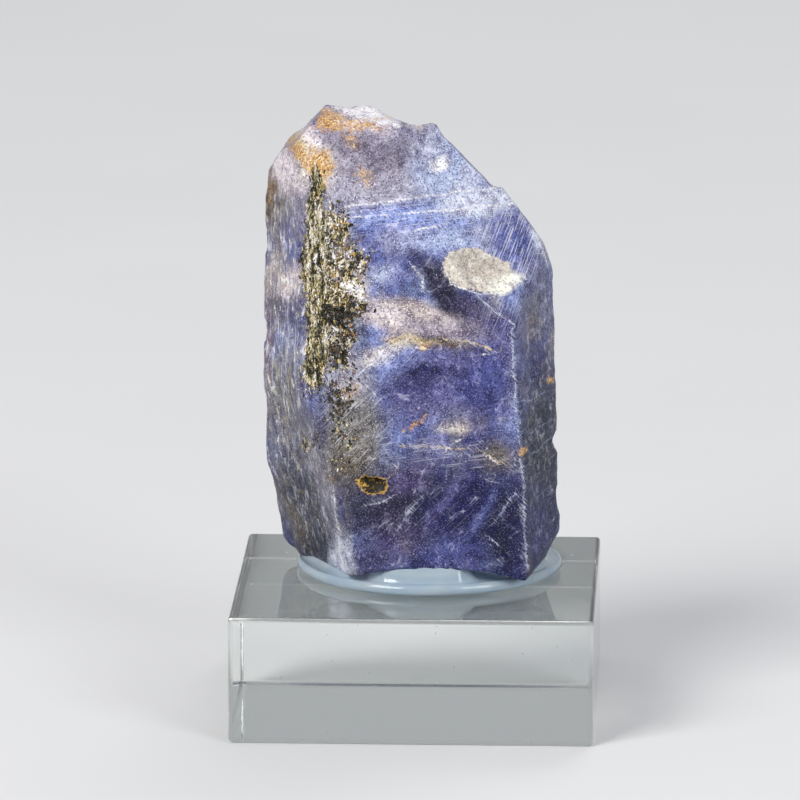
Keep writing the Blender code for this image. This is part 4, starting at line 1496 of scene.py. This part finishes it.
# Painted shade and glints in part: dark clusters shade slits and pits, white ones are painted glints
# A cluster of darker or lighter flakes: its middle, half sizes and tilt on the sheet, and the shift
TONE_CLUSTERS = {
    "slits": ((-9.2, 22.3), (0.6, 1.3), 0, -0.4),
    "dark_high": ((-6.9, 9.3), (1.1, 1.9), 0, -0.3),
    "pit_high": ((-4.4, 15.6), (0.5, 0.7), 20, -0.5),
    "pit_mid": ((-5.6, 13.4), (0.6, 0.5), -30, -0.35),
    "dark_foot": ((-5.4, 8.4), (0.9, 1.2), 30, -0.3),
    "silver": ((-6.2, 14.8), (1.2, 1.6), 10, 0.1),
    "clumps": ((-5.4, 9.6), (1.6, 1.6), 0, -0.12),
    "dark_mid": ((-6.2, 5.2), (0.6, 1.0), 0, -0.4),
    "dark_low": ((-9.7, 4.2), (1.1, 1.6), 0, -0.4),
    "white": ((-5.4, 12.1), (0.8, 0.9), 0, 0.5),
    "gold_white": ((-3.9, 11.2), (0.9, 0.8), 0, 0.4),
    "white_low": ((-4.0, 8.3), (0.6, 0.8), 0, 0.4),
    "gold_high": ((-7.9, 20.0), (0.9, 1.0), 0, 0.1),
    "tail": ((-6.6, -1.6), (2.2, 5.6), 0, -0.3),
}
print(sum(kind[0] for kind in FLAKE_KINDS.values()), "flakes of", len(FLAKE_KINDS), "kinds")

# %% [markdown]
# ### Growing the flakes
#
# The flakes of one kind are drawn together: places where the mica is thick, a direction near the
# surface's own, and sizes between the kind's limits. Their tones come in clumps as painted light,
# because crystals that grew together catch the light together, so whole clumps are painted glinting
# or shaded: long dark slits on the band, round clumps beside it.

# %% Grow the flakes
FLAKE_SEED = 17
SIDEWAYS_LEAN, DRIFT_MM = 0.22, 0.10
flake_draw = np.random.default_rng(FLAKE_SEED)


def plate_pattern():
    """A six-sided plate of radius one and thickness one: twelve points and eight faces."""
    angles = np.radians(60 * np.arange(6))
    ring = np.stack([np.cos(angles), np.sin(angles)], axis=1)
    top = np.column_stack([ring, np.full(6, 0.5)])
    bottom = np.column_stack([ring, np.full(6, -0.5)])
    around = [[(i + 1) % 6, 6 + (i + 1) % 6, 6 + i, i] for i in range(6)]
    caps = [list(range(6)), list(range(11, 5, -1))]
    return np.concatenate([top, bottom]), caps, around


def choose_points(weights, count):
    """Grid places drawn at random, more often where the weight is high."""
    flat = weights.ravel() / weights.sum()
    return flake_draw.choice(flat.size, size=count, p=flat)


def cell_areas(skin):
    """The area round each grid point, so that small cells don't draw more flakes."""
    around = (np.roll(skin, -1, axis=1) - np.roll(skin, 1, axis=1)) / 2
    return np.linalg.norm(np.cross(around, np.gradient(skin, axis=0)), axis=-1)


def flake_set(weights, count, half_width, half_length, thickness, tilt, sink):
    """Middles, axes and sizes of one kind of flake, drawn between the given limits in mm."""
    chosen = choose_points(weights * cell_areas(stone_skin), count)
    face = grid_normals(stone_skin).reshape(-1, 3)[chosen]
    out = face + flake_draw.normal(0, tilt, face.shape)
    out /= np.linalg.norm(out, axis=1, keepdims=True)
    lean = flake_draw.normal(0, SIDEWAYS_LEAN, out.shape) + np.array((0.0, 0.0, 1.0))
    side = np.cross(lean, out)
    side /= np.linalg.norm(side, axis=1, keepdims=True)
    long = np.cross(out, side)
    drift = flake_draw.normal(0, DRIFT_MM, face.shape)
    drift -= face * (drift * face).sum(axis=1, keepdims=True)
    thick = flake_draw.uniform(*thickness, count)
    middle = stone_skin.reshape(-1, 3)[chosen] + drift + face * (thick * sink)[:, None]
    sizes = (flake_draw.uniform(*half_width, count), flake_draw.uniform(*half_length, count), thick)
    return middle, (side, long, out), sizes


def flake_tones(middles):
    """Two numbers a flake: its tone from 0 dark to 1 white, partly painted shade and glints, and 0 on the
    band to 1 beside it.
    """
    places = on_sheet(middles)
    kind = smooth_step(-8.2, -6.8, places[:, 0] + flake_draw.normal(0, 0.3, len(middles)))
    slits = layered_noise(middles * np.array((1.0, 1.0, 0.14)), 0.26, 171, 2)
    clumps = layered_noise(middles, 0.55, 161, 2)
    tone = 0.46 + 0.5 * flake_draw.uniform(-1, 1, len(middles)) * (0.7 + 0.3 * kind)
    tone = tone + 0.9 * slits * (1 - kind) + 0.75 * clumps * kind + 0.06 * (1 - kind)
    for middle, half, tilt, shift in TONE_CLUSTERS.values():
        tone = tone + shift * oval_cover(places, middle, half, tilt, 0.5)
    return np.stack([np.clip(tone, 0, 1), kind], axis=1)


def join_flakes(name, sets):
    """One mesh of every flake.

    A point is the flake's middle, plus the pattern's x, y and z times its half width, half length
    and thickness, along its side, long and outward directions.
    """
    pattern, caps, around = plate_pattern()
    points, tones = [], []
    for middle, (side, long, out), (width, length, thick) in sets:
        grown = (
            side[:, None] * (pattern[:, 0][None, :, None] * width[:, None, None])
            + long[:, None] * (pattern[:, 1][None, :, None] * length[:, None, None])
            + out[:, None] * (pattern[:, 2][None, :, None] * thick[:, None, None])
        )
        points.append((middle[:, None] + grown).reshape(-1, 3))
        tones.append(np.repeat(flake_tones(middle), len(pattern), axis=0))
    points = np.concatenate(points) * MM
    starts = np.arange(0, len(points), len(pattern))
    faces = []
    for face in caps + around:
        faces += (starts[:, None] + np.array(face)).tolist()
    obj = new_mesh(name, points, faces, smooth=False)
    tones = np.concatenate(tones)
    store_colour(obj, "flake_tone", np.column_stack([tones, np.ones_like(tones)]))
    return obj


band_side = 1 - smooth_step(-7.8, -7.0, wavering_places[..., 0])
gaps = smooth_step(-0.15, 0.25, layered_noise(stone_skin, 1.2, 151))
thick_cover = mica_cover**1.5 * (0.10 + 0.90 * gaps)
flake_cover = {
    "slivers": thick_cover * band_side,
    "chunks": thick_cover * (1 - band_side),
    "plates": thick_cover * (1 - band_side),
    "crumbs": mica_cover,
}
flake_sets = [flake_set(flake_cover[kind], *limits) for kind, limits in FLAKE_KINDS.items()]
flakes = join_flakes("mica_flakes", flake_sets)
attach(flakes, "root")

# %% [markdown]
# ## The flakes' finish
#
# Mica splits into pearly sheets, so a flake is nearly black on edge and flashes gold or silver on
# its face; here that black and that flash are painted into the colour, as painted shade and painted
# glints. The stored tone of each flake picks its colour from a ramp with hard steps, olive and
# straw on the band and browner beside it, and the surface is smoother than the stone around it.

# %% Mica
# Painted shade and glints in part: the ink end of these ramps is a flake dark on edge, the snow end one
# flashing
BAND_TONES = (
    (0.0, "ink"),
    (0.26, "olive"),
    (0.44, "bronze"),
    (0.60, "khaki"),
    (0.78, "cream"),
    (0.92, "snow"),
)
BESIDE_TONES = (
    (0.0, "ink"),
    (0.26, "walnut"),
    (0.38, "olive"),
    (0.46, "bark"),
    (0.52, "gold"),
    (0.55, "khaki"),
    (0.64, "silver_grey"),
    (0.76, "cream"),
    (0.88, "snow"),
)


def mica_material():
    """The finish of the flakes: a colour for each, with worn pale streaks, and a pearly gloss."""
    mat, shader = new_material("mica_finish")
    place = add(mat, "TexCoord").outputs["Object"]
    tone, kind = stored(mat, "flake_tone")[:2]
    colour = blend(mat, kind, tone_ramp(mat, tone, BAND_TONES), tone_ramp(mat, tone, BESIDE_TONES))
    sheets = noise(mat, turned(mat, place, (20, 30, 0), (1.0, 5.0, 1.0)), 0.12, detail=2.0)
    worn = blend(mat, 0.5, colour, PALETTE["cream"])
    feed(mat, shader.inputs["Base Color"], blend(mat, between(mat, sheets, 0.58, 0.72), colour, worn))
    feed(mat, shader.inputs["Roughness"], calc(mat, "MULTIPLY_ADD", sheets, 0.3, 0.15))
    return mat


dress(flakes, mica_material())

# %% [markdown]
# ## The gel pad
#
# The pad is a soft disc of clear-milky gel. The stone's weight presses its foot into it, so the gel
# fills the arch under the foot and climbs the stone's sides in a thin lip. Its surface is a profile
# carried round the stone: from the middle underneath, out to the rim, up and in to the stone, down
# its side, and in under the foot.

# %% The pad's outline and the stone in it
GEL_STEPS = 260
GEL_CENTRE = (gel_box[0] + gel_box[1]) / 2
GEL_HALF = (gel_box[1] - gel_box[0]) / 2
GEL_REST = block_box[1, 2] + 0.02
FOOT = stone_box[0, 2]


def pad_outline(turn):
    """Distance from the heart's axis to the pad's oval rim in a direction: the larger root."""
    way = np.stack([np.cos(turn), np.sin(turn)], axis=1) / GEL_HALF[:2]
    start = (HEART[:2] - GEL_CENTRE[:2]) / GEL_HALF[:2]
    square = (way * way).sum(axis=1)
    half = way @ start
    return (-half + np.sqrt(half * half - square * (start @ start - 1))) / square


def level_reach(turn, height):
    """Distance from the heart's axis to the stone's side at a height."""
    rays = np.stack([np.cos(turn), np.sin(turn), np.zeros_like(turn)], axis=1)
    origins = np.zeros_like(rays)
    origins[:, :2] = HEART[:2]
    origins[:, 2] = height
    return stone_reach(origins, rays)


def from_heart(turn, radius):
    """Places across and away at a distance from the heart's axis in each direction."""
    return HEART[0] + radius * np.cos(turn), HEART[1] + radius * np.sin(turn)


def arch_height(across, away):
    """Height of the hollow under the foot above the foot's plane, from the arch's squashed ball."""
    facet, place, size, roll = SCARS["foot_arch"]
    matrix = bowl_matrix(place_on(facet, *place), size)
    points = np.stack([across, away, np.full_like(across, FOOT)], axis=-1)
    start, step = into(matrix, points, np.broadcast_to(np.array((0.0, 0.0, 1.0)), points.shape))
    square = (step * step).sum(axis=-1)
    half = (start * step).sum(axis=-1)
    inside = half * half - square * ((start * start).sum(axis=-1) - 1)
    return np.where(inside > 0, np.maximum((-half + np.sqrt(np.maximum(inside, 0))) / square, 0), 0)


print("pad rests at mm", GEL_REST.round(2), "and the stone's foot is at", FOOT.round(2))

# %% [markdown]
# ### The lip
#
# Where the soft gel meets the stone it climbs a little, and the line where it ends follows the
# stone's wall. The lip needs a wall within the pad's rim: under an overhanging toe the wall is
# further out, so there the lip stays lower. The line is eased round the pad, because gel has no
# sudden corners, and it ends a hair's breadth inside the stone, so that no slit shows.

# %% Where the lip runs
LIP = 15.1
ARCH_CLEAR = 1.5
FOOT_MARGIN, LIP_MARGIN = 0.05, 0.15
LIP_LEVELS, EASE_STEPS, LIP_SINK = 12, 3, 0.06
RIM_ROUND = 0.62


def eased(values):
    """The mean of each value and its neighbours round the pad."""
    steps = range(-EASE_STEPS, EASE_STEPS + 1)
    return np.mean([np.roll(values, step) for step in steps], axis=0)


def lip_line(turn, rim):
    """Height of the lip's end in each direction, and its distance from the heart's axis."""
    heights = np.linspace(FOOT + FOOT_MARGIN, FOOT + ARCH_CLEAR, LIP_LEVELS)
    reaches = np.array([level_reach(turn, height) for height in heights])
    hollow = arch_height(*from_heart(turn, reaches[-1]))
    lip = np.maximum(LIP, FOOT + hollow + LIP_MARGIN)
    inmost = rim - RIM_ROUND - LIP_MARGIN
    room = np.where(reaches <= inmost, heights[:, None], FOOT + FOOT_MARGIN).max(axis=0)
    lip = eased(np.minimum(lip, np.maximum(room, FOOT + hollow)))
    wall = np.array([np.interp(lip[i], heights, reaches[:, i]) for i in range(GEL_STEPS)])
    return lip, eased(np.minimum(wall, inmost)) - LIP_SINK


# %% [markdown]
# ### The pad's surface
#
# The profile starts under the middle, runs out flat to the rim, turns up round it, dips in a shallow
# groove, climbs to the lip, and goes on under the foot along the arch. Each step of it is a whole
# ring round the stone.

# %% Build the gel
RIPPLES = ((0.08, 3, 0.6), (0.05, 7, 0.0))
RIM_INSET = 0.05
RIM_TURN = 75
GROOVE, CLIMB = 0.16, 1.6
FOOT_CLEARANCE = 0.03


def gel_rings():
    """Rings of the pad from the middle of its underside round to the middle of its top."""
    turn = np.linspace(0, 2 * math.pi, GEL_STEPS, endpoint=False)
    ripple = sum(size * np.sin(count * turn + shift) for size, count, shift in RIPPLES)
    rim = pad_outline(turn) + ripple - RIM_INSET
    lip, wall = lip_line(turn, rim)
    width = rim - wall
    profile = []
    for share in np.linspace(0.12, 1.0, 9):
        profile.append((share * (rim - RIM_ROUND), GEL_REST))
    for angle in np.radians(np.linspace(-RIM_TURN, RIM_TURN, 12)):
        out = rim - RIM_ROUND * (1 - math.cos(angle))
        profile.append((out, GEL_REST + RIM_ROUND + RIM_ROUND * math.sin(angle)))
    start_in, start_up = profile[-1]
    for share in np.linspace(0.08, 1.0, 14):
        groove = GROOVE * math.sin(share * math.pi) * np.minimum(width / 2, 1)
        up = start_up + (lip - start_up) * share**CLIMB - groove
        profile.append((start_in + (wall - start_in) * share, up))
    for share in np.linspace(0.96, 0.06, 18):
        under = arch_height(*from_heart(turn, wall * share))
        profile.append((wall * share, FOOT + under - FOOT_CLEARANCE))
    rings = [np.stack([*from_heart(turn, radius), turn * 0 + height], axis=1) for radius, height in profile]
    return np.array(rings)


pad_rings = gel_rings()
low_tip = np.array((HEART[0], HEART[1], GEL_REST))
high_tip = np.array((HEART[0], HEART[1], pad_rings[-1, :, 2].mean()))
gel = closed_surface("gel_cushion", pad_rings, low_tip, high_tip)
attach(gel, "root")
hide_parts("gel_pad")

# %% [markdown]
# ## The gel's finish
#
# Such gel looks milky because it scatters blue light a little more than red. A see-through shader
# with some roughness and a faint blue base gives that milkiness, and a wet gloss stays on top.

# %% Gel
GEL_IOR = 1.41


def gel_material():
    """The finish of the pad: milky swirls, half see-through, under a wet coat."""
    mat, shader = new_material("gel_finish")
    place = add(mat, "TexCoord").outputs["Object"]
    swirl = noise(mat, turned(mat, place, (0, 0, 0), (1.0, 1.0, 0.35)), 4.0, detail=2.0)
    milk = blend(mat, between(mat, swirl, 0.30, 0.70), paint(198, 222, 242), paint(220, 236, 246))
    feed(mat, shader.inputs["Base Color"], milk)
    shader.inputs["Roughness"].default_value = 0.09
    shader.inputs["IOR"].default_value = GEL_IOR
    shader.inputs["Transmission Weight"].default_value = 0.5
    shader.inputs["Coat Weight"].default_value = 0.6
    shader.inputs["Coat Roughness"].default_value = 0.03
    bumpy(mat, shader, noise(mat, place, 1.6, detail=2.0), 0.25, 0.2)
    return mat


dress(gel, gel_material())

# %% [markdown]
# ## The display block
#
# The block is sawn from clear acrylic sheet and polished. Its edges are softly broken, never sharp,
# and light gathers in them. The surface is a rounded square carried up a rounded profile: at each
# height the square is drawn inwards by the same amount all round.

# %% Build the block
EDGE_ROUND = 0.45
CORNER_STEPS, SIDE_STEPS, EDGE_STEPS, WALL_STEPS = 8, 14, 6, 6
CORNER_SIGNS = ((1, 1), (-1, 1), (-1, -1), (1, -1))
CAP_SHARES = (0.1, 0.4, 0.7, 0.9)
FLAT = 0.99999


def rounded_square(inset):
    """A square with round corners, drawn inwards by an inset in mm, anticlockwise from the right."""
    half = (block_box[1, :2] - block_box[0, :2]) / 2
    corners = []
    for quarter, signs in enumerate(CORNER_SIGNS):
        angles = np.radians(90 * quarter + np.linspace(0, 90, CORNER_STEPS))
        arc = np.stack([np.cos(angles), np.sin(angles)], axis=1) * (EDGE_ROUND - inset)
        corners.append(np.array(signs) * (half - EDGE_ROUND) + arc)
    route = []
    shares = np.linspace(0, 1, SIDE_STEPS + 2)[1:-1, None]
    for first, second in zip(corners, corners[1:] + corners[:1]):
        route.append(first)
        route.append(first[-1] + (second[0] - first[-1]) * shares)
    return np.concatenate(route)


def block_rings():
    """Rings from the block's underside to its top, with quarter-round edges.

    Each ring is a height, an inset and a share of the full outline. The flat caps shrink the
    outline to nothing, the edges draw it in by a quarter circle, and the wall leaves it as it is.
    """
    low, high = block_box[0, 2], block_box[1, 2]
    quarter = np.radians(np.linspace(0, 90, EDGE_STEPS))
    drop, draw_in = EDGE_ROUND * (1 - np.sin(quarter)), EDGE_ROUND * (1 - np.cos(quarter))
    wall = low + EDGE_ROUND + (high - low - 2 * EDGE_ROUND) * np.linspace(0.15, 0.85, WALL_STEPS)
    profile = [(low, EDGE_ROUND, share) for share in CAP_SHARES]
    profile += [(low + up, inset, 1.0) for up, inset in zip(drop[::-1], draw_in[::-1])]
    profile += [(height, 0.0, 1.0) for height in wall]
    profile += [(high - down, inset, 1.0) for down, inset in zip(drop, draw_in)]
    profile += [(high, EDGE_ROUND, share) for share in CAP_SHARES[::-1]]
    rings = [np.insert(rounded_square(inset) * share, 2, up, axis=1) for up, inset, share in profile]
    return np.array(rings)


low_tip, high_tip = block_box * np.array((0.0, 0.0, 1.0))
block = closed_surface("acrylic_block", block_rings(), low_tip, high_tip)
normals = np.empty(len(block.data.polygons) * 3)
block.data.polygons.foreach_get("normal", normals)
curved = np.abs(normals.reshape(-1, 3)).max(axis=1) < FLAT
block.data.polygons.foreach_set("use_smooth", curved)
print(int(curved.sum()), "curved faces of", len(curved))
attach(block, "root")
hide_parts("display_block")

# %% [markdown]
# ## Acrylic
#
# Clear acrylic is plain transmission at an index of 1.49 with the faintest green-grey. What makes
# it look real is what is wrong with it: edges left satin by the saw and buffing wheel, fine dust and
# hair scratches on the polished faces. A mask near the edges raises the roughness there.

# %% Acrylic finish
ACRYLIC_IOR = 1.49
EDGE_BAND = (-0.60 * MM, -0.42 * MM)
DUST_MM, RARE_DUST = 0.9, 0.9


def acrylic_material():
    """The finish of the block: clear, with satin edges, hair scratches and a few specks of dust."""
    mat, shader = new_material("acrylic_finish")
    place = add(mat, "TexCoord").outputs["Object"]
    axes = add(mat, "SeparateXYZ", Vector=place).outputs
    half = (block_box[1] - block_box[0]) / 2 * MM
    middle = (block_box[1, 2] + block_box[0, 2]) / 2 * MM
    from_middle = (axes[0], axes[1], calc(mat, "SUBTRACT", axes[2], float(middle)))
    near = []
    for axis, reach in zip(from_middle, half):
        outward = calc(mat, "SUBTRACT", calc(mat, "ABSOLUTE", axis), float(reach))
        near.append(between(mat, outward, *EDGE_BAND))
    pairs = [times(mat, near[a], near[b]) for a, b in ((0, 1), (1, 2), (0, 2))]
    edge = calc(mat, "MAXIMUM", calc(mat, "MAXIMUM", pairs[0], pairs[1]), pairs[2])
    saw = noise(mat, turned(mat, place, (0, 0, 0), (1.0, 1.0, 6.0)), 0.5, detail=3.0)
    edge = times(mat, edge, calc(mat, "MULTIPLY_ADD", between(mat, saw, 0.3, 0.7), 0.2, 0.3))
    hair = noise(mat, turned(mat, place, (0, 0, 35), (20.0, 1.0, 1.0)), 0.35, detail=2.0)
    dust = add(mat, "TexVoronoi", {"feature": "F1"}, Vector=place)
    dust.inputs["Scale"].default_value = 1.0 / (DUST_MM * MM)
    chance = add(mat, "SeparateColor", Color=dust.outputs["Color"]).outputs[0]
    rare = calc(mat, "GREATER_THAN", chance, RARE_DUST)
    speck = times(mat, rare, between(mat, dust.outputs["Distance"], 0.14, 0.08))
    marks = calc(mat, "MAXIMUM", times(mat, between(mat, hair, 0.70, 0.76), 0.4), speck)
    haze = calc(mat, "MAXIMUM", edge, marks)
    feed(mat, shader.inputs["Roughness"], calc(mat, "MULTIPLY_ADD", haze, 0.42, 0.015))
    feed(mat, shader.inputs["Base Color"], blend(mat, haze, paint(246, 250, 248), paint(236, 234, 226)))
    shader.inputs["IOR"].default_value = ACRYLIC_IOR
    shader.inputs["Transmission Weight"].default_value = 1.0
    return mat


dress(block, acrylic_material())

# %% [markdown]
# ## Floor and light
#
# A plain pale floor fills the picture, and soft lights stand round the specimen as in a small studio
# tent. The key light comes from the upper left and a second from the upper right, so the crest, the
# left shoulder and the right chamfer catch light, on top of the painted highlight in their zones, and
# the front facets stay deep in colour.

# %% Floor, lights and sky
FLOOR_HALF = 3.0
FLOOR_DROP = 0.03 * MM
LAMP_DISTANCE, LOOKED_AT = 1.3, Vector((0.0, 0.0, 0.035))
SKY_COLOUR, SKY_STRENGTH = (0.88, 0.90, 0.93, 1.0), 0.46


def make_floor():
    """A wide pale sheet a hair below the block, so that the two don't touch."""
    corners = np.array(((-1, -1, 0), (1, -1, 0), (1, 1, 0), (-1, 1, 0))) * FLOOR_HALF
    floor = new_mesh("floor", corners - np.array((0.0, 0.0, FLOOR_DROP)), [[0, 1, 2, 3]], smooth=False)
    mat, shader = new_material("floor_finish")
    place = add(mat, "TexCoord").outputs["Object"]
    shade = blend(mat, noise(mat, place, 60.0, detail=2.0), paint(226, 226, 228), paint(232, 232, 233))
    feed(mat, shader.inputs["Base Color"], shade)
    shader.inputs["Roughness"].default_value = 0.7
    dress(floor, mat)
    floor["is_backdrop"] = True


def soft_light(name, turn, rise, size, power, tint=(1.0, 1.0, 1.0)):
    """A square lamp of a size in metres and a power in watts, looking at the stone from a direction."""
    lamp = bpy.data.lights.new(name, "AREA")
    lamp.size = size
    lamp.energy = power
    lamp.color = tint
    obj = bpy.data.objects.new(name, lamp)
    bpy.context.scene.collection.objects.link(obj)
    out = Vector(facing(turn, rise))
    obj.location = LOOKED_AT + out * LAMP_DISTANCE
    obj.rotation_euler = out.to_track_quat("Z", "Y").to_euler()


make_floor()
soft_light("key", turn=-40, rise=38, size=0.62, power=12.0, tint=(1.0, 0.98, 0.95))
soft_light("right_fill", turn=42, rise=24, size=0.55, power=5.2, tint=(0.96, 0.98, 1.0))
soft_light("back_rim", turn=160, rise=48, size=0.6, power=2.6)
sky = bpy.data.worlds.new("studio")
sky.use_nodes = True
sky.node_tree.nodes["Background"].inputs["Color"].default_value = SKY_COLOUR
sky.node_tree.nodes["Background"].inputs["Strength"].default_value = SKY_STRENGTH
bpy.context.scene.world = sky
bpy.context.scene.view_settings.view_transform = "Standard"

# %% [markdown]
# ## The last measure
#
# The dressed model has to be the size of the solids, so both boxes are written down side by side.

# %% Compare the boxes and finish
dressed_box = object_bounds()
for title, (low, high) in (("solids", solid_box), ("dressed", dressed_box)):
    print(title, "size mm", (np.array(high - low) / MM).round(2))
